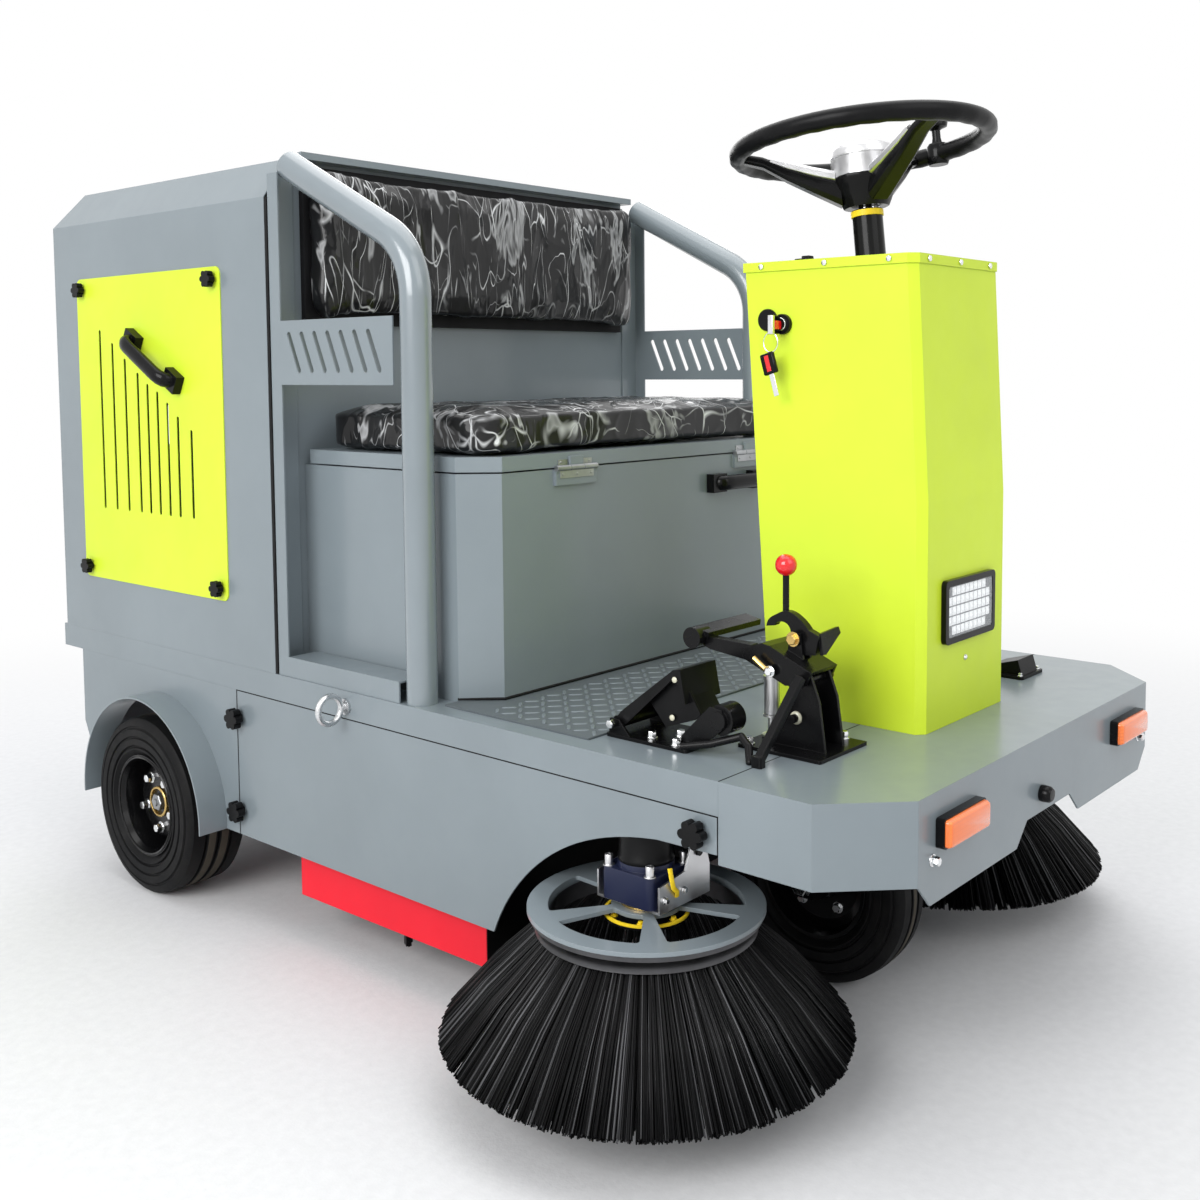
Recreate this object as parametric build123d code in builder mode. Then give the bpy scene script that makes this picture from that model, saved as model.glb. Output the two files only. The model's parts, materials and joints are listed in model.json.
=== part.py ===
"""Ride-on battery floor sweeper: open operator seat, two rear wheels, one steered front wheel.

Millimetres.  +Z is up, the machine faces -Y, its own right-hand side is -X.
The floor is Z = 0 and the origin is under the middle of the machine.
"""
import os
from math import atan2, cos, radians, sin, tan

from build123d import *

# ---------------------------------------------------------------- driving dimensions
SHEET = 3.0                 # body sheet, decks and skirts
THIN = 2.0                  # hood, console and seat box sheet
TYRE_R = 166.0
DECK_OVER_TYRE = 130.0      # floor deck above the top of the front tyre
CHASSIS_HALF = 475.0        # half width over the side skirts
DECK_Z = 2 * TYRE_R + DECK_OVER_TYRE
BAND_H = 45.0               # folded edge all round the main deck
REAR_Y = 956.0              # rear edge of the main deck
SEAM_Y = -726.0             # joint between main deck and nose
FRONT_Y = -956.0            # front plate
NOSE_CUT_X, NOSE_CUT_Y = 90.0, 92.0     # the two cut corners of the nose
FRONT_HALF = CHASSIS_HALF - NOSE_CUT_X  # half width of the front plate
CORNER_Y = FRONT_Y + NOSE_CUT_Y
NOSE_H = 107.0              # height of the nose skirt
TAB_H = 138.0               # height of the front plate over its two lower tabs
TAB_IN, TAB_NOTCH, TAB_OUT = 73.0, 107.0, 354.0
STEER_HOLE_Y, STEER_HOLE_R = -690.0, 45.0

RAIL_X, RAIL_W, RAIL_H, RAIL_WALL = 215.0, 40.0, 50.0, 3.0
FRAME_INSET = 16.0          # rails end this far behind the front plate
CROSS_Y, CROSS_W = (-680.0, -484.0, 240.0, 850.0), 40.0
HEAD_R, HEAD_BORE, HEAD_DROP = 30.0, 17.0, 6.0      # head tube of the front fork
HEAD_PLATE_HALF, HEAD_PLATE_T, HEAD_PLATE_RISE = 60.0, 8.0, 6.0

REAR_WHEEL_Y = 582.0
TYRE_PROUD = 50.0           # outer sidewall of the rear tyres outside the skirts
REAR_TYRE_OUT = CHASSIS_HALF + TYRE_PROUD
REAR_TYRE_W = 122.0
FRONT_WHEEL_Y = -582.0
FRONT_TYRE_W = 76.0
RIM_R = 92.0                # rim flange
HUB_R, HUB_OUT = 34.0, 26.0
DISC_SET = 66.0             # the rear wheel's disc is set this deep in the rim
AXLE_R, AXLE_TUBE_R = 12.0, 20.0
AXLE_Z = TYRE_R
HANGER_T, HANGER_TOP, HANGER_FOOT, HANGER_CUT = 10.0, 70.0, 34.0, 14.0
HUB_GAP = 0.3               # running clearance of hubs on axles and axle ends in forks
CLAMP_GAP = 0.2
CASING_R, CASING_HALF, CASING_RISE = 62.0, 60.0, 4.0
DRIVE_MOTOR_R, DRIVE_MOTOR_END = 58.0, 250.0
FENDER_R = TYRE_R + 40.0
FENDER_OUT = 55.0           # how far the fender stands out of the side
FORK_GAP, FORK_PLATE, FORK_TOP, FORK_FOOT, FORK_CUT = 9.0, 8.0, 45.0, 24.0, 10.0
TREAD_CORNER = 7.0
CROWN_GAP, CROWN_T = 9.0, 12.0

DOOR_REAR_Y = REAR_WHEEL_Y - FENDER_R - 44.0    # the door ends in front of the fender
DOOR_FRONT_Y, DOOR_LOW, DOOR_GAP = SEAM_Y + 2.0, 156.0, 2.0
DOOR_FRONT_Z = 367.0        # lower edge of the door in front of the arch
ARCH = ((-317, DOOR_LOW), (-351, 218), (-410, 281), (-469, 320), (-523, 343), (-575, 357), (-626, 365))
DOOR_KNOBS = ((DOOR_REAR_Y - 6, 368), (DOOR_REAR_Y - 6, 201), (DOOR_FRONT_Y + 29, 391))
SIDE_REAR_Y = REAR_Y - 72.0
SIDE_CUT_Y, SIDE_CUT_Z = 60.0, 270.0    # cut lower rear corner of the side panels
REAR_PANEL_LOW, WING_LOW, WING_HIGH, WING_W = 160.0, 275.0, 390.0, 60.0
RETURN_W, RETURN_EDGE = 25.0, 5.0
KNOB_R, KNOB_LOBE = 13.0, 5.5
DOOR_KNOB_R, DOOR_KNOB_H, PANEL_KNOB_R, PANEL_KNOB_H = 15.0, 20.0, 12.0, 16.0
EYE_Y, EYE_DROP, EYE_R, EYE_WIRE = 22.0, 25.0, 22.0, 5.0
EYE_BASE_R, EYE_BASE_T, EYE_STEM_R = 13.0, 5.0, 6.0

BULKHEAD_Y = 206.0          # front face of the wall behind the seat
HOOD_FRONT_Y = BULKHEAD_Y + 8.0
HOOD_REAR_Y = REAR_Y - 12.0
HOOD_SIDE_Z = 1268.0
HOOD_RISE = 67.0            # height of the sloped roof edges
HOOD_TOP_Z = HOOD_SIDE_Z + HOOD_RISE
HOOD_INSET = 46.0           # slope of the roof edges, inward
PANEL_SHEET = 2.0
PANEL_REAR_Y, PANEL_FRONT_Y = HOOD_REAR_Y - 92.0, 348.0
PANEL_LOW_Z, PANEL_HIGH_Z = DECK_Z + 110.0, HOOD_SIDE_Z - 107.0
PANEL_CORNER, PANEL_KNOB_INSET = 14.0, 22.0
LOUVRE_OPEN = 26.0          # how far the window is smaller than its panel
LOUVRE_LOW, LOUVRE_W = PANEL_LOW_Z + 140.0, 8.0
LOUVRES = ((768, 348), (722, 322), (677, 292), (632, 265), (598, 244), (564, 230), (530, 210), (496, 185),
           (452, 161))      # (y, length) of each slot
HANDLE_FEET = ((630, PANEL_HIGH_Z - 125), (494, PANEL_HIGH_Z - 199))
HANDLE_RISE, HANDLE_R, HANDLE_FOOT_R, HANDLE_BEND = 42.0, 9.5, 13.0, 18.0
COVER_HALF, COVER_LOW, COVER_HIGH, COVER_RISE, COVER_LAP = 300.0, 760.0, 966.0, 18.0, 20.0
SLOT_COUNT, SLOT_L, SLOT_W, SLOT_PITCH = 11, 90.0, 9.0, 44.0
COVER_CORNER = 10.0

SEAT_FRONT_Y = -230.0
SEAT_HALF = CHASSIS_HALF - 64.0
SEAT_CHAMFER_X, SEAT_CHAMFER_Y = 48.0, 52.0
SEAT_BOX_TOP = DECK_Z + 356.0
FLANGE_W = 18.0
LID_GAP, LID_GROW, LID_H, LID_REAR_GAP = 2.5, 1.5, 23.5, 18.0
LID_TOP = SEAT_BOX_TOP + LID_GAP + LID_H
HINGE_R, HINGE_PIN_R, HINGE_GAP = 4.5, 2.0, 0.2
HINGE_X, HINGE_LEN, HINGE_LEAF = (-200.0, 286.0), 96.0, 22.0
CUSHION_INSET, CUSHION_H, CUSHION_FRONT_Y, CUSHION_REAR_Y = 16.0, 78.0, -222.0, 176.0
CUSHION_CORNER, CUSHION_CROWN, CUSHION_GAP = 45.0, 16.0, 0.3
BATTERY_HALF, BATTERY_FRONT_Y, BATTERY_REAR_Y, BATTERY_H = 345.0, -185.0, 175.0, 230.0
BATTERY_CORNER, BACK_CORNER = 6.0, 24.0
HOOP_X = CHASSIS_HALF - 28.0
HOOP_R = 24.5
HOOP_FOOT_Y = -134.0
HOOP_TOP_Y, HOOP_TOP_Z = 178.0, HOOD_TOP_Z - 17.0
HOOP_KNEE_Z = HOOP_TOP_Z - 157.0
HOOP_BEND_R = 115.0
BACK_HALF = HOOP_X - 41.0
BACK_LOW, BACK_HIGH = HOOP_TOP_Z - 252.0, HOOP_TOP_Z
BACK_BOARD, BACK_THICK, BACK_MARGIN = 12.0, 52.0, 4.0
BULK_HALF = CHASSIS_HALF - 5.0
TOP_BAR_HALF = CHASSIS_HALF - 50.0
SLOT_PANEL_LOW, SLOT_PANEL_HIGH = HOOP_KNEE_Z - 206.0, HOOP_KNEE_Z - 100.0
POST_FRONT_Y, POST_W = 178.0, 45.0
SIDE_SLOTS, SIDE_SLOT_L, SIDE_SLOT_W, SIDE_SLOT_PITCH, SIDE_SLOT_LEAN = 7, 74.0, 10.0, 34.4, 24.0
SIDE_SLOT_START = 36.0      # first slot behind the post's front edge
FOOT_RAIL_H = 34.0

CONSOLE_HALF = 132.0
CONSOLE_TOP = DECK_Z + 671.0
CAP_T, CAP_GAP, CAP_LIP_T, CAP_LIP = 2.0, 1.0, 1.5, 14.0
CAP_TOP = CONSOLE_TOP + CAP_T
CONSOLE_REAR_LOW, CONSOLE_REAR_HIGH = -568.0, -524.0
CONSOLE_FRONT_LOW, CONSOLE_FRONT_HIGH = -826.0, -808.0
CONSOLE_KNEE_Z = DECK_Z + 328.0     # the front is upright up to here and leans back above it
CONSOLE_CORNER = 12.0       # cut on the two front corners
LAMP_Z, LAMP_HALF, LAMP_HALF_H, LAMP_RIM = DECK_Z + 166.0, 79.0, 46.0, 9.0
LAMP_PROUD, LAMP_DEPTH, LENS_SET = 8.0, 28.0, 4.0
MARKER_X, MARKER_Z, MARKER_HALF, MARKER_HALF_H = FRONT_HALF - 100.0, DECK_Z - 51.0, 57.0, 19.0
KEY_Y, KEY_Z = -593.0, CONSOLE_TOP - 91.0
KEY_STEPS = ((0, 7, 15), (6, 14, 9))            # (from, to, radius), out of the console's side
MARKER_STEPS = ((0.0, 12.0, 0.0, 0), (12.0, 9.0, 1.5, 12))      # (start, thickness, inset, taper)

WHEEL_TILT = 6.0            # steering column lean to the rear, degrees
STEER_Y, STEER_Z = -645.0, CONSOLE_TOP + 182.0
STEER_RIM_R, STEER_RIM_TUBE = 187.0, 14.5
COLUMN_R, COLUMN_TOP, NECK_R = 23.0, -100.0, 12.0
CUP_LOW, CUP_HIGH, CUP_LOW_R, HUB_DRUM_R = -96.0, -54.0, 36.0, 49.0
SPOKE_ANGLES = (4.0, 124.0, 244.0)
SPOKE_ROOT, SPOKE_END, SPOKE_CORNER = (38.0, 30.0), (30.0, 14.0), 4.0      # (width, depth)
SPINNER_ANGLE = 350.0
SPINNER = ((-18, 18, 18), (17, 42, 8), (41, 56, 20))    # (low, high, radius) of each step

MAT_HALF, MAT_FRONT_Y, MAT_H, MAT_GAP = CHASSIS_HALF - 35.0, -476.0, 3.0, 1.5

# pedals: heights are above the deck, and (y, z) pairs are (y, height)
PLATE_T = 5.0
ACC_X, ACC_HALF, ACC_REAR_Y, ACC_FRONT_Y = -357.0, 50.0, -478.5, -622.0
ACC_HINGE, ACC_PIN_R, ACC_EAR_X, ACC_EAR_T = (-492.0, 20.0), 4.0, 45.0, 4.0
ACC_TIP = (-604.0, 110.0)
BARREL_R = 9.0              # the treadle's rear edge, rolled round the pin
TREADLE_HALF, TREADLE_T, TREADLE_FLANGE, TREADLE_LIP = 40.0, 4.0, 12.0, 46.0
SENSOR_BOX = ((-541.0, 58.0), (-590.0, 94.0), (-596.0, 96.0), (-626.0, 50.0), (-620.0, 44.0), (-570.0, 26.0))
SENSOR_HALF, SENSOR_COVER = 24.0, 3.0
ROLLER_X, ROLLER, ROLLER_R, ROLLER_W = -383.0, (-662.0, 48.0), 20.5, 30.0
LINK_R = 5.5
LINK_BAR = ((-404.0, -612.0, 8.0), (-392.0, -652.0, 16.0), (-375.0, -690.0, 29.0), (-381.0, -706.0, 20.0),
            (-391.0, -715.0, 3.0))
TOWER_X, TOWER_GAP, TOWER_SHEET = -277.5, 40.0, 5.0     # middle of the tower, space between its plates
TOWER_LEFT_X, TOWER_RIGHT_X, TOWER_FRONT_Y, TOWER_REAR_Y = -336.0, -216.0, -788.0, -655.0
TOWER_FORM = ((-774.0, 4.0), (-684.0, 4.0), (-722.0, 84.0), (-728.0, 108.0), (-750.0, 108.0), (-764.0, 72.0))
TOWER_BOLT, TOWER_PIN, PEDAL_PIN_R = (-729.0, 46.0), (-740.0, 97.0), 6.0
STRUT_FOOT, STRUT_TOP, STRUT_W = (-394.0, -731.0, 8.0), (-319.0, -746.0, 106.0), 12.0
CRANK_GAP, CRANK_T = 3.0, 5.0
CRANK_FORM = ((-757.0, 112.0), (-748.0, 93.0), (-716.0, 89.0), (-660.0, 112.0), (-645.0, 118.0),
              (-648.0, 132.0), (-678.0, 142.0), (-690.0, 140.0))
ARM_FORM, ARM_W = ((-654.0, 115.0), (-660.0, 137.0), (-586.0, 139.0), (-566.0, 146.0), (-566.0, 130.0),
                   (-590.0, 122.0)), 16.0
PAD, PAD_LEFT_X, PAD_RIGHT_X, PAD_END_R, PAD_END_W = (-573.0, 143.0), -326.0, -186.0, 15.0, 30.0
CLAW_PIN, CLAW_X, CLAW_T = (-718.0, 150.0), -279.0, 12.0
CLAW_OUTER = ((-668.0, 161.0), (-672.0, 171.0), (-684.0, 179.0), (-699.0, 185.0), (-715.0, 181.0),
              (-736.0, 163.0), (-752.0, 157.0), (-747.0, 130.0), (-730.0, 128.0))
CLAW_INNER = ((-705.0, 139.0), (-708.0, 150.0), (-704.0, 166.0), (-693.0, 170.0), (-681.0, 163.0))
WING_X, WING_T = -232.0, 5.0        # inner end of the claw's foot tab
LEVER_X, LEVER_Y, LEVER_R, LEVER_TOP, LEVER_BALL_R = -277.0, -695.0, 4.5, 247.0, 15.0
DAMPER_Y, DAMPER_R, DAMPER_LOW, DAMPER_HIGH = -672.0, 11.0, 38.0, 88.0
ROD_R, ROD_GAP = 3.5, 4.0   # the cylinder's rod stops this far under the crank's corner
SWITCH_X, SWITCH_Y, SWITCH_HALF = 312.0, -765.0, 30.0
BOX_HANDLE_X, BOX_HANDLE_Z, BOX_HANDLE_HALF = 240.0, SEAT_BOX_TOP - 51.0, 62.0
BOX_HANDLE_RISE, BOX_HANDLE_R, BOX_HANDLE_SPLAY, BOX_HANDLE_BEND = 34.0, 7.0, 8.0, 16.0

BRUSH_X, BRUSH_Y = CHASSIS_HALF - 46.0, -570.0
RING_Z, RING_R, RING_T = 254.0, 163.0, 6.0
WINDOW_OUT_R, HUB_DISC_R, DISC_SPOKES, SPOKE_AT, SPOKE_SPAN = 134.0, 48.0, 5, -136.5, 15.4
WINDOW_CORNER = 5.0
RIM_DROP, RIM_WALL, RIM_LIP = 34.0, 16.0, 5.0
BRUSH_CORE_R = 150.0
HUB_RISE_R, HUB_PLATE_T = 30.0, 6.0
BRISTLE_R, BRISTLE_LOW_Z, BRISTLE_WALL = 289.0, 74.0, 16.0
BRACKET_GAP = 6.0
GEARBOX, GEARBOX_H, GEARBOX_CORNER = 88.0, 44.0, 10.0
BRUSH_MOTOR_R, BRUSH_MOTOR_H = 37.0, 89.0
SHAFT_R = 9.0
ARM_X = RAIL_X + 17.0       # inner pivot of the lifting arm
ARM_DROP = 37.0             # and how far it hangs under the rail
HEAD_X, HEAD_RISE = BRUSH_X - 44.0, 70.0        # outer pivot, which carries the brush head
CLEVIS_Y, EAR_Y, EAR_T = 50.0, 52.0, 3.0
BRACKET_OUT, BRACKET_IN = 39.0, 70.0    # reach of the bracket from the brush's axis, outward and inward
ARM_PIN_R, HEAD_PIN_R, ARM_TUBE_R = 8.0, 6.0, 14.0
ARM_BAR_Y, ARM_BAR_T, ARM_BAR_H = 40.0, 8.0, 18.0

MAIN_BRUSH_Y, MAIN_BRUSH_Z = -62.0, 168.0
MAIN_BRUSH_R, BRUSH_SHAFT_R = 122.0, 12.0
HOUSING_HALF = CHASSIS_HALF - 23.0
MAIN_BRUSH_HALF = HOUSING_HALF - 16.0
HOUSING_FRONT_Y, HOUSING_REAR_Y, HOUSING_SLOPE = -276.0, 186.0, 90.0
HOUSING_LOW_Z, HOUSING_KNEE_Z = 76.0, 330.0

os.makedirs("parts", exist_ok=True)


def save(builder, name):
    """Label one finished sub-part and write its STEP file."""
    builder.part.label = name
    export_step(builder.part, f"parts/{name}.step")


def block(x0, x1, y0, y1, z0, z1, mode=Mode.ADD, radius=0.0):
    """A prism standing on z0, its four upright edges rounded by radius."""
    with BuildSketch(Plane.XY.offset(z0)) as plan:
        with Locations(((x0 + x1) / 2, (y0 + y1) / 2)):
            if radius:
                RectangleRounded(x1 - x0, y1 - y0, radius)
            else:
                Rectangle(x1 - x0, y1 - y0)
    extrude(plan.sketch, amount=z1 - z0, mode=mode)


def side_prism(points, x0, x1, mode=Mode.ADD):
    """Extrude a (y, z) outline from x0 to x1."""
    with BuildSketch(Plane.YZ.offset(x0)) as outline:
        with BuildLine():
            Polyline(*points, close=True)
        make_face()
    extrude(outline.sketch, amount=x1 - x0, mode=mode)


def front_prism(points, y0, y1, mode=Mode.ADD):
    """Extrude an (x, z) outline from y0 back to y1."""
    with BuildSketch(Plane(origin=(0, y0, 0), x_dir=(1, 0, 0), z_dir=(0, -1, 0))) as outline:
        with BuildLine():
            Polyline(*points, close=True)
        make_face()
    extrude(outline.sketch, amount=-(y1 - y0), mode=mode)


def rod(start, end, radius, mode=Mode.ADD, inner=0.0):
    """A round bar or tube between two points."""
    start, end = Vector(*start), Vector(*end)
    with BuildSketch(Plane(origin=start, z_dir=end - start)) as disc:
        Circle(radius)
        if inner:
            Circle(inner, mode=Mode.SUBTRACT)
    extrude(disc.sketch, amount=(end - start).length, mode=mode)


def both_sides(builder, name):
    """Write a right-hand sub-part and its mirror image on the left."""
    save(builder, f"{name}_right")
    with BuildPart() as left:
        mirror(builder.part, about=Plane.YZ)
    save(left, f"{name}_left")


def save_pair(builders, name):
    """Write right-hand pieces and their mirror images on the left as one sub-part."""
    with BuildPart() as pair:
        for builder in builders:
            add(builder.part)
            mirror(builder.part, about=Plane.YZ)
    save(pair, name)


# ================================================================ chassis
band_low = DECK_Z - BAND_H
nose_low = DECK_Z - NOSE_H
deck_under = DECK_Z - SHEET


def nose_outline(inset):
    """Plan of the nose, all edges moved in by inset except the open one at the seam."""
    slope = atan2(CORNER_Y - FRONT_Y, CHASSIS_HALF - FRONT_HALF)
    side = CHASSIS_HALF - inset
    front = FRONT_Y + inset
    corner_y = CORNER_Y + inset * tan((radians(90) - slope) / 2)
    corner_x = FRONT_HALF - inset * tan(slope / 2)
    return [(-side, SEAM_Y), (-side, corner_y), (-corner_x, front),
            (corner_x, front), (side, corner_y), (side, SEAM_Y)]


with BuildPart() as nose_deck:
    with BuildSketch(Plane.XY.offset(nose_low)) as plan:
        with BuildLine():
            Polyline(*nose_outline(0), close=True)
        make_face()
    extrude(plan.sketch, amount=NOSE_H)
    with BuildSketch(Plane.XY.offset(nose_low)) as inside:
        with BuildLine():
            Polyline(*nose_outline(SHEET), close=True)
        make_face()
    extrude(inside.sketch, amount=NOSE_H - SHEET, mode=Mode.SUBTRACT)
    tab_low = DECK_Z - TAB_H
    for sign in (-1, 1):
        front_prism([(sign * TAB_IN, nose_low + 1), (sign * TAB_NOTCH, tab_low),
                     (sign * TAB_OUT, tab_low), (sign * FRONT_HALF, nose_low + 1)],
                    FRONT_Y, FRONT_Y + SHEET)
    # opening for the steering shaft under the console
    with Locations((0, STEER_HOLE_Y, DECK_Z)):
        Cylinder(STEER_HOLE_R, 4 * SHEET, mode=Mode.SUBTRACT)
save(nose_deck, "nose_deck")

with BuildPart() as main_deck:
    block(-CHASSIS_HALF, CHASSIS_HALF, SEAM_Y, REAR_Y, band_low, DECK_Z)
    block(-CHASSIS_HALF + SHEET, CHASSIS_HALF - SHEET, SEAM_Y - 1, REAR_Y - SHEET,
          band_low, deck_under, mode=Mode.SUBTRACT)
save(main_deck, "main_deck")

# ---- underframe: two rails and their cross members, hung under the decks
rail_low = deck_under - RAIL_H
frame_front, frame_rear = FRONT_Y + FRAME_INSET, SIDE_REAR_Y - 10
with BuildPart() as underframe:
    for sign in (-1, 1):
        with BuildSketch(Plane.XZ.offset(-frame_rear)) as rail:
            with Locations((sign * RAIL_X, rail_low + RAIL_H / 2)):
                Rectangle(RAIL_W, RAIL_H)
                Rectangle(RAIL_W - 2 * RAIL_WALL, RAIL_H - 2 * RAIL_WALL, mode=Mode.SUBTRACT)
        extrude(rail.sketch, amount=frame_rear - frame_front)
    for cross_y in CROSS_Y:
        block(-RAIL_X + RAIL_W / 2, RAIL_X - RAIL_W / 2, cross_y - CROSS_W / 2, cross_y + CROSS_W / 2,
              rail_low, deck_under)
    # head tube plate between the two front cross members
    block(-HEAD_PLATE_HALF, HEAD_PLATE_HALF, CROSS_Y[0] + CROSS_W / 2, CROSS_Y[1] - CROSS_W / 2,
          rail_low + HEAD_PLATE_RISE, rail_low + HEAD_PLATE_RISE + HEAD_PLATE_T)
    with Locations((0, FRONT_WHEEL_Y, rail_low - HEAD_DROP)):
        Cylinder(HEAD_R, RAIL_H + HEAD_DROP - 2,
                 align=(Align.CENTER, Align.CENTER, Align.MIN))
        Cylinder(HEAD_BORE, 200, mode=Mode.SUBTRACT)
    # hangers clamped round the rear axle tube
    for sign in (-1, 1):
        hanger_low = AXLE_Z - AXLE_TUBE_R - 12
        side_prism([(REAR_WHEEL_Y - HANGER_TOP, rail_low + 1), (REAR_WHEEL_Y + HANGER_TOP, rail_low + 1),
                    (REAR_WHEEL_Y + HANGER_FOOT, hanger_low + HANGER_CUT),
                    (REAR_WHEEL_Y + HANGER_FOOT - HANGER_CUT, hanger_low),
                    (REAR_WHEEL_Y - HANGER_FOOT + HANGER_CUT, hanger_low),
                    (REAR_WHEEL_Y - HANGER_FOOT, hanger_low + HANGER_CUT)],
                   sign * RAIL_X - HANGER_T / 2, sign * RAIL_X + HANGER_T / 2)
    rod((-RAIL_X - HANGER_T, REAR_WHEEL_Y, AXLE_Z), (RAIL_X + HANGER_T, REAR_WHEEL_Y, AXLE_Z),
        AXLE_TUBE_R + CLAMP_GAP, mode=Mode.SUBTRACT)
save(underframe, "underframe")

# ---- side panels round the rear wheels, with their fenders
door_top = band_low - DOOR_GAP
with BuildPart() as rear_side:
    with BuildSketch(Plane.YZ.offset(-CHASSIS_HALF)) as outline:
        with BuildLine():
            Polyline((DOOR_REAR_Y + 3, DOOR_LOW), (DOOR_REAR_Y + 3, band_low),
                     (SIDE_REAR_Y, band_low), (SIDE_REAR_Y, SIDE_CUT_Z), (SIDE_REAR_Y - SIDE_CUT_Y, DOOR_LOW),
                     close=True)
        make_face()
        with Locations((REAR_WHEEL_Y, TYRE_R)):
            Circle(FENDER_R, mode=Mode.SUBTRACT)
        with Locations((REAR_WHEEL_Y, DOOR_LOW)):
            Rectangle(2 * FENDER_R, 40, mode=Mode.SUBTRACT)
    extrude(outline.sketch, amount=SHEET)
    # joggled flange that laps behind the band
    block(-CHASSIS_HALF + SHEET, -CHASSIS_HALF + 2 * SHEET, DOOR_REAR_Y + 10, SIDE_REAR_Y,
          band_low - 20, band_low + 22)
save_pair([rear_side], "rear_sides")

with BuildPart() as fender:
    # a strip of sheet on the edge of the arch
    with BuildSketch(Plane.YZ.offset(-CHASSIS_HALF - FENDER_OUT)) as strip:
        with Locations((REAR_WHEEL_Y, TYRE_R)):
            Circle(FENDER_R)
            Circle(FENDER_R - SHEET, mode=Mode.SUBTRACT)
        with Locations((REAR_WHEEL_Y, DOOR_LOW - FENDER_R)):
            Rectangle(3 * FENDER_R, 2 * FENDER_R, mode=Mode.SUBTRACT)
    extrude(strip.sketch, amount=FENDER_OUT + SHEET)
save_pair([fender], "fenders")

with BuildPart() as rear_panel:
    panel_half = CHASSIS_HALF - SHEET
    block(-panel_half, panel_half, SIDE_REAR_Y - SHEET, SIDE_REAR_Y, WING_LOW, WING_HIGH)
    block(-panel_half + WING_W, panel_half - WING_W, SIDE_REAR_Y - SHEET, SIDE_REAR_Y, REAR_PANEL_LOW,
          deck_under)
    # folded returns that lie against the side panels
    for sign in (-1, 1):
        with Locations((sign * (CHASSIS_HALF - 1.5 * SHEET), SIDE_REAR_Y - RETURN_W / 2,
                        (WING_LOW + WING_HIGH) / 2)):
            Box(SHEET, RETURN_W, WING_HIGH - WING_LOW - 2 * RETURN_EDGE)
save(rear_panel, "rear_panel")

# ---- removable skirt doors, cut away over the side brushes
with BuildPart() as skirt_door:
    with BuildSketch(Plane.YZ.offset(-CHASSIS_HALF)) as outline:
        with BuildLine():
            start = Polyline(ARCH[0], (DOOR_REAR_Y, DOOR_LOW), (DOOR_REAR_Y, door_top),
                             (DOOR_FRONT_Y, door_top), (DOOR_FRONT_Y, DOOR_FRONT_Z), ARCH[-1])
            Spline(*ARCH[::-1])
        make_face()
    extrude(outline.sketch, amount=SHEET)
    # lip that hooks behind the band of the main deck
    block(-CHASSIS_HALF + SHEET, -CHASSIS_HALF + 2 * SHEET, DOOR_FRONT_Y + 8, DOOR_REAR_Y,
          door_top - 8, door_top + 16)
save_pair([skirt_door], "skirt_doors")

# ---- star knobs of the doors and of the louvre panels
def star_knob(plane_origin, out, radius, height):
    """Six-lobed hand knob standing on a sheet, its axis along out (-1 or +1 on X)."""
    base = Plane(origin=plane_origin, x_dir=(0, 1, 0), z_dir=(out, 0, 0))
    with BuildSketch(base) as washer:
        Circle(radius * 0.62)
    extrude(washer.sketch, amount=height * 0.3)
    with BuildSketch(base.offset(height * 0.3)) as star:
        Circle(radius * 0.86)
        with PolarLocations(radius * 0.84, 6):
            Circle(KNOB_LOBE * radius / KNOB_R)
    extrude(star.sketch, amount=height * 0.7)


with BuildPart() as door_knobs:
    for knob_y, knob_z in DOOR_KNOBS:
        star_knob((-CHASSIS_HALF, knob_y, knob_z), -1, DOOR_KNOB_R, DOOR_KNOB_H)

# ---- tie-down eyes on the band
eye_z = DECK_Z - EYE_DROP
with BuildPart() as tie_eye:
    # base plate on the band and the ring standing out from it
    rod((-CHASSIS_HALF, EYE_Y, eye_z), (-CHASSIS_HALF - EYE_BASE_T, EYE_Y, eye_z), EYE_BASE_R)
    rod((-CHASSIS_HALF - 1, EYE_Y, eye_z), (-CHASSIS_HALF - EYE_BASE_T - 6, EYE_Y, eye_z), EYE_STEM_R)
    ring_centre = (-CHASSIS_HALF - EYE_BASE_T - EYE_R - EYE_WIRE, EYE_Y, eye_z)
    with BuildSketch(Plane(origin=ring_centre, x_dir=(1, 0, 0), z_dir=(0, 0, 1))) as wire:
        with Locations((EYE_R, 0)):
            Circle(EYE_WIRE)
    revolve(wire.sketch, axis=Axis(ring_centre, (0, 1, 0)))
save_pair([tie_eye], "tie_eyes")

# ================================================================ rear axle and wheels
tyre_in = REAR_TYRE_OUT - REAR_TYRE_W
rim_disc_x = REAR_TYRE_OUT - DISC_SET
with BuildPart() as rear_axle:
    rod((-tyre_in + 8, REAR_WHEEL_Y, AXLE_Z), (tyre_in - 8, REAR_WHEEL_Y, AXLE_Z), AXLE_TUBE_R)
    rod((-rim_disc_x - 22, REAR_WHEEL_Y, AXLE_Z), (rim_disc_x + 22, REAR_WHEEL_Y, AXLE_Z), AXLE_R)
    # differential casing and the drive motor flanged to it
    casing_z = AXLE_Z + CASING_RISE
    rod((-CASING_HALF, REAR_WHEEL_Y, casing_z), (CASING_HALF, REAR_WHEEL_Y, casing_z), CASING_R)
    rod((0, REAR_WHEEL_Y, casing_z), (0, REAR_WHEEL_Y + DRIVE_MOTOR_END, casing_z), DRIVE_MOTOR_R)
save(rear_axle, "rear_axle")


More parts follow.
